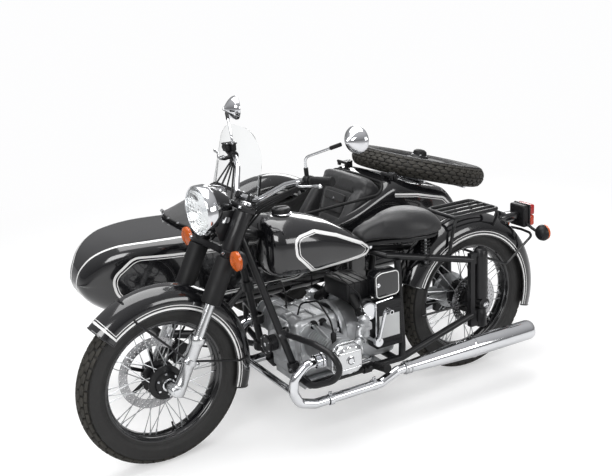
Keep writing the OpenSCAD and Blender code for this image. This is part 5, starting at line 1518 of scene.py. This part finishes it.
parts = Parts()
for way in (-1, 1):
    intake, middle = at(0.753, way * 0.272, 0.386), at(0.685, way * 0.206, 0.430)
    run = (intake - middle).normalized()
    parts.add(tube(bend([intake, middle + Vector((0.036, way * 0.020, -0.016)), middle], 0.02), 0.0165, 20), CAST)
    parts.add(lathe([(0.018, 0), (0.024, 0.001), (0.024, 0.008), (0.018, 0.009)], 28), STEEL,
              facing(intake - run * 0.03, run))
    bowl = Matrix.Translation(middle)
    parts.add(lathe([(0, -0.054), (0.010, -0.054), (0.012, -0.048), (0.019, -0.046), (0.022, -0.040), (0.022, -0.012),
                     (0.026, -0.010), (0.026, -0.002), (0.022, 0.0), (0.022, 0.020), (0.024, 0.022), (0.024, 0.034),
                     (0.020, 0.038), (0.010, 0.041), (0.004, 0.046), (0, 0.046)], 32), CAST, bowl)
    parts.add(block((-0.028, -0.020, -0.018), (0.028, 0.020, 0.016), 0.006, 3), CAST, bowl)
    parts.add(bolt(0.0055, 0.006), CHROME, bowl @ shift(0.028, 0, 0) @ AHEAD)
    for x, y in ((-0.018, -0.018), (0.018, -0.018), (-0.018, 0.018), (0.018, 0.018)):
        parts.add(bolt(0.003), CHROME, bowl @ shift(x, y, 0.034))
    boot = bend([middle - run * 0.02, at(0.660, way * 0.135, 0.470), at(0.664, way * 0.084, 0.520)], 0.02)
    parts.add(tube(boot, lambda t: 0.0185 + 0.0012 * math.cos(34 * t), 20), RUBBER)
    parts.add(tube(bend([bowl @ Vector((0, 0, 0.046)), at(0.690, way * 0.19, 0.56), at(0.75, way * 0.11, 0.64),
                         at(0.85, way * 0.055, 0.650)], 0.05), 0.0032, 8), RUBBER)
    cap = facing(at(0.630, way * 0.148, 0.465), (0.1, way, 0.0))
    parts.add(lathe([(0, 0.024), (0.034, 0.023), (0.039, 0.019), (0.040, 0.012), (0.040, -0.030), (0, -0.030)], 48),
              CHROME, cap)
    parts.add(lathe([(0.0405, -0.028), (0.046, -0.026), (0.046, -0.014), (0.0405, -0.012)], 48), PLASTIC, cap)
parts.done("carburettor_castings", BODY, "cast_aluminium", "carburettors")

parts = Parts()
parts.add(block((0.560, -0.092, 0.492), (0.690, 0.092, 0.574), 0.010, 3), PLASTIC, GROUND)
parts.add(block((0.580, -0.040, 0.416), (0.650, 0.040, 0.495), 0.006), PLASTIC, GROUND)
for x in (0.585, 0.615, 0.645, 0.672):
    parts.add(block((x, -0.0945, 0.505), (x + 0.006, 0.0945, 0.5765), 0.002), PLASTIC, GROUND)
parts.done("air_box_moulding", BODY, "black_plastic", "air_box")

parts = Parts()
parts.add(block((0.463, 0.096, 0.284), (0.599, 0.166, 0.486), 0.007, 3), PLASTIC, GROUND)
parts.add(block((0.461, 0.094, 0.468), (0.601, 0.168, 0.490), 0.004), PLASTIC, GROUND)
parts.add(block((0.480, 0.1655, 0.330), (0.582, 0.1668, 0.430), 0.0004, 1), LABEL, GROUND)
for z in (0.300, 0.446):
    parts.add(block((0.470, 0.164, z), (0.592, 0.1685, z + 0.008), 0.0015), PLASTIC, GROUND)
parts.add(tube(bend([at(0.612, 0.098, 0.330), at(0.606, 0.176, 0.340), at(0.606, 0.178, 0.500),
                     at(0.520, 0.176, 0.505)],
                    0.01), 0.003, 8), CHROME)
parts.done("battery_case", BODY, "black_plastic", "battery_box")

parts = Parts()
for way in (-1, 1):
    door = closed_bend([(0.466, 0.505, 0), (0.590, 0.500, 0), (0.592, 0.606, 0), (0.560, 0.618, 0),
                        (0.466, 0.616, 0)], 0.022)
    upright = stood(0, way * 0.124, 0) @ ON_EDGE
    rim = [(p.x, p.y) for p in door]
    parts.add(plate(rim, -0.031, 0.031, 0.007, 4), GLOSS, upright)
    edge = [at(p.x, way * 0.1556, p.y) for p in door]
    parts.add(tube([at(0.529, way * 0.1556, 0.559) + (p - at(0.529, way * 0.1556, 0.559)) * 0.90 for p in edge],
                   0.0019, 6, closed=True), WHITE)
    parts.add(lathe([(0, 0), (0.009, 0), (0.009, 0.002), (0.006, 0.0035), (0, 0.0035)], 24), CHROME,
              facing(at(0.574, way * 0.155, 0.562), (0, way, 0)))
parts.done("side_cover_doors", BODY, "gloss_black", "side_covers")

# ---- Exhaust ---------------------------------------------------------------------------------

parts = Parts()
HEADER = [(0.939, 0.272, 0.368), (1.000, 0.272, 0.366), (1.052, 0.264, 0.318), (1.062, 0.262, 0.262),
          (1.036, 0.262, 0.208), (0.970, 0.266, 0.188), (0.660, 0.276, 0.194), (0.580, 0.282, 0.230),
          (0.500, 0.282, 0.230)]
header = bend([at(*p) for p in HEADER], 0.045, 8)
parts.both(tube(header, 0.0195, 28), CHROME)
parts.add(rod(at(1.062, -0.262, 0.262), at(1.062, 0.262, 0.262), 0.0135, 24), CHROME)
for way in (-1, 1):
    for x, z, r in ((0.900, 0.1894, 0.0205), (0.690, 0.1934, 0.0205)):
        parts.add(lathe([(r, -0.009), (r + 0.0025, -0.009), (r + 0.0025, 0.009), (r, 0.009)], 32), CHROME,
                  stood(x, way * 0.272, z) @ AHEAD)
        parts.add(block((-0.008, -0.004, 0.018), (0.008, 0.004, 0.034), 0.002), CHROME, stood(x, way * 0.272, z))
        parts.add(bolt(0.004, 0.008), STEEL, facing(at(x, way * 0.276, z + 0.028), (0, way, 0)))
    collar = stood(0.941, way * 0.272, 0.368) @ AHEAD
    ribs = []
    for k in range(5):
        ribs += [(0.024, 0.005 * k), (0.028, 0.005 * k + 0.001), (0.028, 0.005 * k + 0.0028),
                 (0.024, 0.005 * k + 0.0038)]
    parts.add(lathe(ribs, 40), CHROME, collar)
parts.done("header_pipes", BODY, "chrome", "exhaust_headers")

parts = Parts()
for way in (-1, 1):
    silencer = stood(-0.152, way * 0.282, 0.230) @ AHEAD
    parts.add(lathe([(0.018, 0.16), (0.018, 0.004), (0.020, 0.0), (0.034, 0.001), (0.040, 0.006), (0.0435, 0.016),
                     (0.0440, 0.028), (0.0440, 0.330), (0.0456, 0.332), (0.0462, 0.336), (0.0456, 0.340),
                     (0.0436, 0.342), (0.0425, 0.380), (0.0390, 0.440), (0.0340, 0.530), (0.0300, 0.600),
                     (0.0262, 0.660), (0.0262, 0.698), (0.0200, 0.700)], 72), CHROME, silencer)
    # A black disc a little way into the tail pipe is painted shade for the pipe's dark inside.
    parts.add(lathe([(0, 0.05), (0.018, 0.05)], 40), PLASTIC, silencer)
    for z in (0.672, 0.690):
        parts.add(lathe([(0.0262, z - 0.004), (0.0282, z - 0.003), (0.0282, z + 0.003), (0.0262, z + 0.004)], 40),
                  STEEL, silencer)
    parts.add(tube([silencer @ Vector((-0.0435, 0, 0.03)), silencer @ Vector((-0.0435, 0, 0.33))], 0.0016, 6), CHROME)
parts.done("silencer_shells", BODY, "chrome", "mufflers")

# ---- Rear lamps ------------------------------------------------------------------------------

parts = Parts()
housing = at(-0.352, 0, 0.668)
parts.add(block((-0.002, -0.050, -0.052), (0.030, 0.050, 0.052), 0.009, 3), PLASTIC, Matrix.Translation(housing))
parts.add(block((-0.010, -0.052, -0.054), (0.000, 0.052, 0.054), 0.003), PLASTIC, Matrix.Translation(housing))
parts.add(block((-0.040, -0.048, 0.001), (-0.009, 0.048, 0.050), 0.008, 4), RED, Matrix.Translation(housing))
parts.add(block((-0.039, -0.048, -0.050), (-0.009, 0.048, -0.001), 0.008, 4), ORANGE, Matrix.Translation(housing))
for z in (-0.034, -0.018, 0.018, 0.034):
    parts.add(block((-0.0405, -0.040, z - 0.0012), (-0.036, 0.040, z + 0.0012), 0.0008, 1), RED,
              Matrix.Translation(housing))
parts.add(block((0.028, -0.026, -0.018), (0.150, 0.026, 0.024), 0.014, 4), GLOSS, Matrix.Translation(housing))
parts.add(rod(at(-0.245, 0, 0.672), at(-0.205, 0, 0.690), 0.022, 24), GLOSS)
for way in (-1, 1):
    spot = at(-0.352, way * 0.136, 0.606)
    lens(parts, facing(spot, (-1, 0, 0)), AMBER, 0.034)
    parts.add(tube(bend([at(-0.342, way * 0.040, 0.636), at(-0.345, way * 0.080, 0.618),
                         at(-0.350, way * 0.110, 0.606)],
                        0.02), 0.0068, 14), PLASTIC)
parts.done("rear_lamp_lenses", BODY, "red_lens", "rear_lights")

parts = Parts()
loop = closed_bend([at(x, y, 0.756) for x, y in ((0.124, -0.098), (-0.124, -0.098), (-0.124, 0.098), (0.124, 0.098))],
                   0.028)
parts.add(tube(loop, 0.0088, 14, closed=True), SATIN)
for y in (-0.049, 0, 0.049):
    parts.add(rod(at(-0.124, y, 0.756), at(0.124, y, 0.756), 0.0075), SATIN)
for way in (-1, 1):
    parts.add(tube(bend([at(0.112, way * 0.092, 0.752), at(0.128, way * 0.096, 0.720), at(0.150, way * 0.092, 0.606)],
                        0.02), 0.0075, 14), SATIN)
    parts.add(tube(bend([at(-0.112, way * 0.094, 0.752), at(-0.122, way * 0.094, 0.730),
                         at(-0.124, way * 0.066, 0.672)],
                        0.02), 0.0075, 14), SATIN)
parts.done("rack_tubes", BODY, "satin_black", "rear_rack")

parts = Parts()
for way in (-1, 1):
    column = stood(0.004, way * 0.128, 0)
    parts.add(rod(column @ Vector((0, 0, 0.240)), column @ Vector((0, 0, 0.606)), 0.0128, 20), CHROME)
    parts.add(lathe([(0.013, 0.607), (0.020, 0.606), (0.026, 0.600), (0.0305, 0.592), (0.0305, 0.500),
                     (0.0285, 0.498),
                     (0.0285, 0.492), (0.0305, 0.490), (0.0305, 0.434), (0.027, 0.430), (0.013, 0.429)], 40), SATIN,
              column)
    for k in range(5):
        parts.add(lathe([(0.0300, 0.440 + 0.009 * k), (0.0310, 0.4425 + 0.009 * k), (0.0300, 0.445 + 0.009 * k)], 40),
                  SATIN, column)
    parts.add(lathe([(0.013, 0.300), (0.027, 0.298), (0.027, 0.242), (0.022, 0.237), (0, 0.236)], 40), SATIN, column)
    carrier = stood(0, way * 0.128, REAR_AXLE.z) @ UPRIGHT
    parts.add(lathe([(0, -0.022), (0.024, -0.022), (0.027, -0.019), (0.027, 0.019), (0.024, 0.022), (0, 0.022)], 40),
              SATIN, carrier)
    parts.add(lathe([(0, 0), (0.015, 0), (0.015, 0.010), (0.009, 0.012), (0, 0.012)], 6), CHROME,
              facing(at(0, way * 0.151, REAR_AXLE.z), (0, way, 0)))
parts.done("plunger_columns", BODY, "satin_black")

cap = SPARE_WHEEL @ UPRIGHT
top = 0.062
parts = Parts()
parts.add(lathe([(0.026, top - 0.012), (0.036, top - 0.010), (0.036, top), (0.033, top + 0.012), (0.022, top + 0.020),
                 (0, top + 0.023)], 40), RUBBER, cap)
parts.done("spare_cap", LID, "rubber")

# ---- Crash bars, pegs, pedals and horn -------------------------------------------------------

parts = Parts()
LOOP = [(1.004, 0.118, 0.446), (0.968, 0.280, 0.448), (0.938, 0.366, 0.424), (0.922, 0.398, 0.372),
        (0.936, 0.372, 0.318), (1.000, 0.300, 0.284), (1.012, 0.205, 0.300), (0.988, 0.150, 0.306)]
parts.both(tube(bend([at(*p) for p in LOOP], 0.075, 10), 0.0128, 20), SATIN)
for x, y, z in ((1.006, 0.108, 0.446), (0.990, 0.146, 0.308)):
    clamp = facing(at(x, y, z), (0.06, -0.19, 1))
    parts.both(lathe([(0.0155, -0.020), (0.024, -0.019), (0.025, -0.015), (0.025, 0.015), (0.024, 0.019),
                      (0.0155, 0.020)],
                     28), SATIN, clamp)
    parts.both(bolt(0.0055, 0.007), CHROME, facing(at(x + 0.020, y + 0.010, z), (1, 0.3, 0)))
parts.done("crash_bar_loops", BODY, "satin_black", "crash_bars")

parts = Parts()
for way in (-1, 1):
    arm = bend([at(0.640, way * 0.142, 0.205), at(0.640, way * 0.178, 0.239), at(0.640, way * 0.292, 0.259)], 0.02)
    parts.add(tube(arm, 0.010, 16), SATIN)
    parts.add(rod(at(0.622, way * 0.142, 0.205), at(0.658, way * 0.142, 0.205), 0.021, 24), SATIN)
    peg = facing(at(0.640, way * 0.214, 0.2445), (0, way * 0.98, 0.17))
    ribs = [(0.011, 0), (0.0175, 0.001)]
    ribs += [(0.0175 - 0.0016 * (k % 2), 0.004 + 0.0042 * k) for k in range(18)]
    parts.add(lathe(ribs + [(0.0195, 0.080), (0.0195, 0.086), (0.012, 0.0875), (0, 0.0875)], 28), RUBBER, peg)
pedal = bend([at(0.636, 0.095, 0.262), at(0.636, 0.176, 0.262), at(0.700, 0.190, 0.262), at(0.790, 0.214, 0.262),
              at(0.800, 0.244, 0.262)], 0.02)
parts.add(tube(pedal, 0.0066, 14), CHROME)
parts.add(rod(at(0.796, 0.212, 0.262), at(0.800, 0.248, 0.262), 0.0100, 20), RUBBER)
brake = bend([at(0.636, -0.095, 0.250), at(0.636, -0.180, 0.246), at(0.760, -0.206, 0.240),
              at(0.800, -0.240, 0.240)], 0.02)
parts.add(tube(brake, 0.0066, 14), CHROME)
parts.add(block((0.780, -0.248, 0.238), (0.812, -0.216, 0.250), 0.004), RUBBER, GROUND)
kick = bend([at(0.612, 0.095, 0.330), at(0.612, 0.200, 0.336), at(0.582, 0.212, 0.468), at(0.584, 0.225, 0.480),
             at(0.584, 0.262, 0.480)], 0.018)
parts.add(tube(kick, lambda t: 0.0085 - 0.0020 * t, 16), CHROME)
parts.add(rod(at(0.584, 0.224, 0.480), at(0.584, 0.262, 0.480), 0.0100, 20), CHROME)
parts.add(lathe([(0, -0.010), (0.019, -0.010), (0.020, -0.006), (0.020, 0.006), (0.019, 0.010), (0, 0.010)], 28),
          CHROME,
          stood(0.612, 0.196, 0.336) @ UPRIGHT)
parts.done("pegs_and_pedals", BODY, "rubber", "foot_controls")

parts = Parts()
horn = stood(0.9923, 0, ENGINE_Z) @ AHEAD
parts.add(lathe([(0, 0), (0.033, 0), (0.034, 0.004), (0.034, 0.030), (0.038, 0.034), (0.042, 0.036), (0.042, 0.042),
                 (0.039, 0.045), (0.030, 0.0455), (0.028, 0.043), (0.012, 0.042), (0, 0.042)], 48), PLASTIC, horn)
for p in ring_of(6, 0.036):
    parts.add(bolt(0.0024, 0.002), CHROME, horn @ shift(p.x, p.y, 0.0445))
parts.add(lathe([(0, 0.042), (0.008, 0.042), (0.008, 0.046), (0, 0.0465)], 20), CHROME, horn)
parts.done("horn_shell", BODY, "black_plastic", "horn")

# ---- CAD nodes whose shape stays, with the finish of their slot -------------------------------

FINISH = {"gloss_black": GLOSS, "satin_black": SATIN, "cast_aluminium": CAST, "polished_aluminium": POLISHED,
          "chrome": CHROME, "tyre_rubber": TYRE, "rubber": RUBBER, "saddle_vinyl": SADDLE, "seat_vinyl": VINYL,
          "hood_cloth": HOOD, "clear_screen": CLEAR, "lamp_glass": FLUTED, "amber_lens": AMBER, "red_lens": RED,
          "black_plastic": PLASTIC, "steel": STEEL}
for name in frame["nodes"]:
    shape = bpy.data.objects.get(name)
    if shape and shape.type == "MESH":
        for i, old in enumerate(shape.data.materials):
            key = next((s for s in FINISH if old and s in old.name), None)
            shape.data.materials[i] = FINISH.get(key, SATIN)

# ---- Camera, floor and light -----------------------------------------------------------------

CAMERA, AIM = Vector((2.026, 3.600, 1.896)), Vector((0.014, 0.068, 0.677))
ROLL = math.radians(-3.1)
FLOOR = 60  # half the floor's width
FADE = (1.3, 4.2)  # how far out the floor turns from paper to plain white

scene = bpy.context.scene
camera = bpy.data.objects.new("camera", bpy.data.cameras.new("camera"))
scene.collection.objects.link(camera)
aim = (AIM - CAMERA).to_track_quat("-Z", "Y").to_matrix().to_4x4()
camera.matrix_world = Matrix.Translation(CAMERA) @ aim @ Matrix.Rotation(ROLL, 4, "Z")
camera.data.lens = 55.92
camera.data.sensor_width = 36
scene.camera = camera


def seen_or_else(nodes, links, seen, other):
    """What the camera and clear glass see, and what all else gets: the shader of either."""
    path = nodes.new("ShaderNodeLightPath")
    either = nodes.new("ShaderNodeMath")
    either.operation = "MAXIMUM"
    pick = nodes.new("ShaderNodeMixShader")
    links.new(path.outputs["Is Camera Ray"], either.inputs[0])
    links.new(path.outputs["Is Transmission Ray"], either.inputs[1])
    links.new(either.outputs[0], pick.inputs[0])
    links.new(other, pick.inputs[1])
    links.new(seen, pick.inputs[2])
    return pick.outputs[0]


def backdrop():
    """A floor that shows as white paper with the shadow on it, and lights the object from below."""
    made = bpy.data.objects.new("floor", bpy.data.meshes.new("floor"))
    made.data.from_pydata([(-FLOOR, -FLOOR, 0), (FLOOR, -FLOOR, 0), (FLOOR, FLOOR, 0), (-FLOOR, FLOOR, 0)], [],
                          [(0, 1, 2, 3)])
    scene.collection.objects.link(made)
    look = bpy.data.materials.new("floor")
    look.use_nodes = True
    nodes, links = look.node_tree.nodes, look.node_tree.links
    nodes.clear()
    paper = nodes.new("ShaderNodeBsdfDiffuse")
    paper.inputs["Color"].default_value = [0.62] * 3 + [1]
    far = nodes.new("ShaderNodeVectorMath")
    far.operation = "LENGTH"
    links.new(nodes.new("ShaderNodeTexCoord").outputs["Object"], far.inputs[0])
    fade = nodes.new("ShaderNodeMapRange")
    fade.inputs["From Min"].default_value, fade.inputs["From Max"].default_value = FADE
    links.new(far.outputs["Value"], fade.inputs["Value"])
    away = nodes.new("ShaderNodeEmission")
    away.inputs["Color"].default_value = [0.985, 0.985, 0.99, 1]
    blend = nodes.new("ShaderNodeMixShader")
    glow = nodes.new("ShaderNodeEmission")
    glow.inputs["Color"].default_value = [1, 1, 1, 1]
    glow.inputs["Strength"].default_value = 0.44
    both = nodes.new("ShaderNodeAddShader")
    plain = nodes.new("ShaderNodeBsdfDiffuse")
    plain.inputs["Color"].default_value = [0.7] * 3 + [1]
    links.new(paper.outputs[0], both.inputs[0])
    links.new(glow.outputs[0], both.inputs[1])
    links.new(fade.outputs["Result"], blend.inputs[0])
    links.new(both.outputs[0], blend.inputs[1])
    links.new(away.outputs[0], blend.inputs[2])
    links.new(seen_or_else(nodes, links, blend.outputs[0], plain.outputs[0]),
              nodes.new("ShaderNodeOutputMaterial").inputs[0])
    made.data.materials.append(look)


backdrop()

world = bpy.data.worlds.new("world")
scene.world = world
world.use_nodes = True
nodes, links = world.node_tree.nodes, world.node_tree.links
nodes.clear()
split = nodes.new("ShaderNodeSeparateXYZ")
links.new(nodes.new("ShaderNodeTexCoord").outputs["Generated"], split.inputs[0])
sky = nodes.new("ShaderNodeValToRGB")
for stop, (position, grey) in zip(sky.color_ramp.elements, ((0.0, 0.16), (0.8, 0.52))):
    stop.position = position
    stop.color = (grey, grey, grey * 1.02, 1)
links.new(split.outputs["Z"], sky.inputs["Fac"])
light, white = nodes.new("ShaderNodeBackground"), nodes.new("ShaderNodeBackground")
links.new(sky.outputs["Color"], light.inputs["Color"])
light.inputs["Strength"].default_value = 1.0
white.inputs["Color"].default_value = (1, 1, 1, 1)
links.new(seen_or_else(nodes, links, white.outputs[0], light.outputs[0]),
          nodes.new("ShaderNodeOutputWorld").inputs[0])


def lamp_at(name, place, target, size, power):
    """An area lamp at place, aimed at target."""
    data = bpy.data.lights.new(name, "AREA")
    data.shape, data.size, data.size_y, data.energy = "RECTANGLE", *size, power
    made = bpy.data.objects.new(name, data)
    made.matrix_world = facing(Vector(place), Vector(place) - Vector(target))
    scene.collection.objects.link(made)


lamp_at("overhead", (0.3, -0.1, 3.6), (0, 0, 0), (3.4, 3.0), 110)
lamp_at("key", (3.2, 2.6, 2.6), (0.1, 0, 0.5), (2.0, 1.6), 70)
lamp_at("far_side", (-2.8, -3.0, 2.4), (0, 0, 0.5), (2.4, 1.6), 60)
lamp_at("near_side", (-1.8, 4.0, 1.7), (0, 0, 0.5), (2.4, 1.2), 45)

scene.view_settings.view_transform = "Standard"
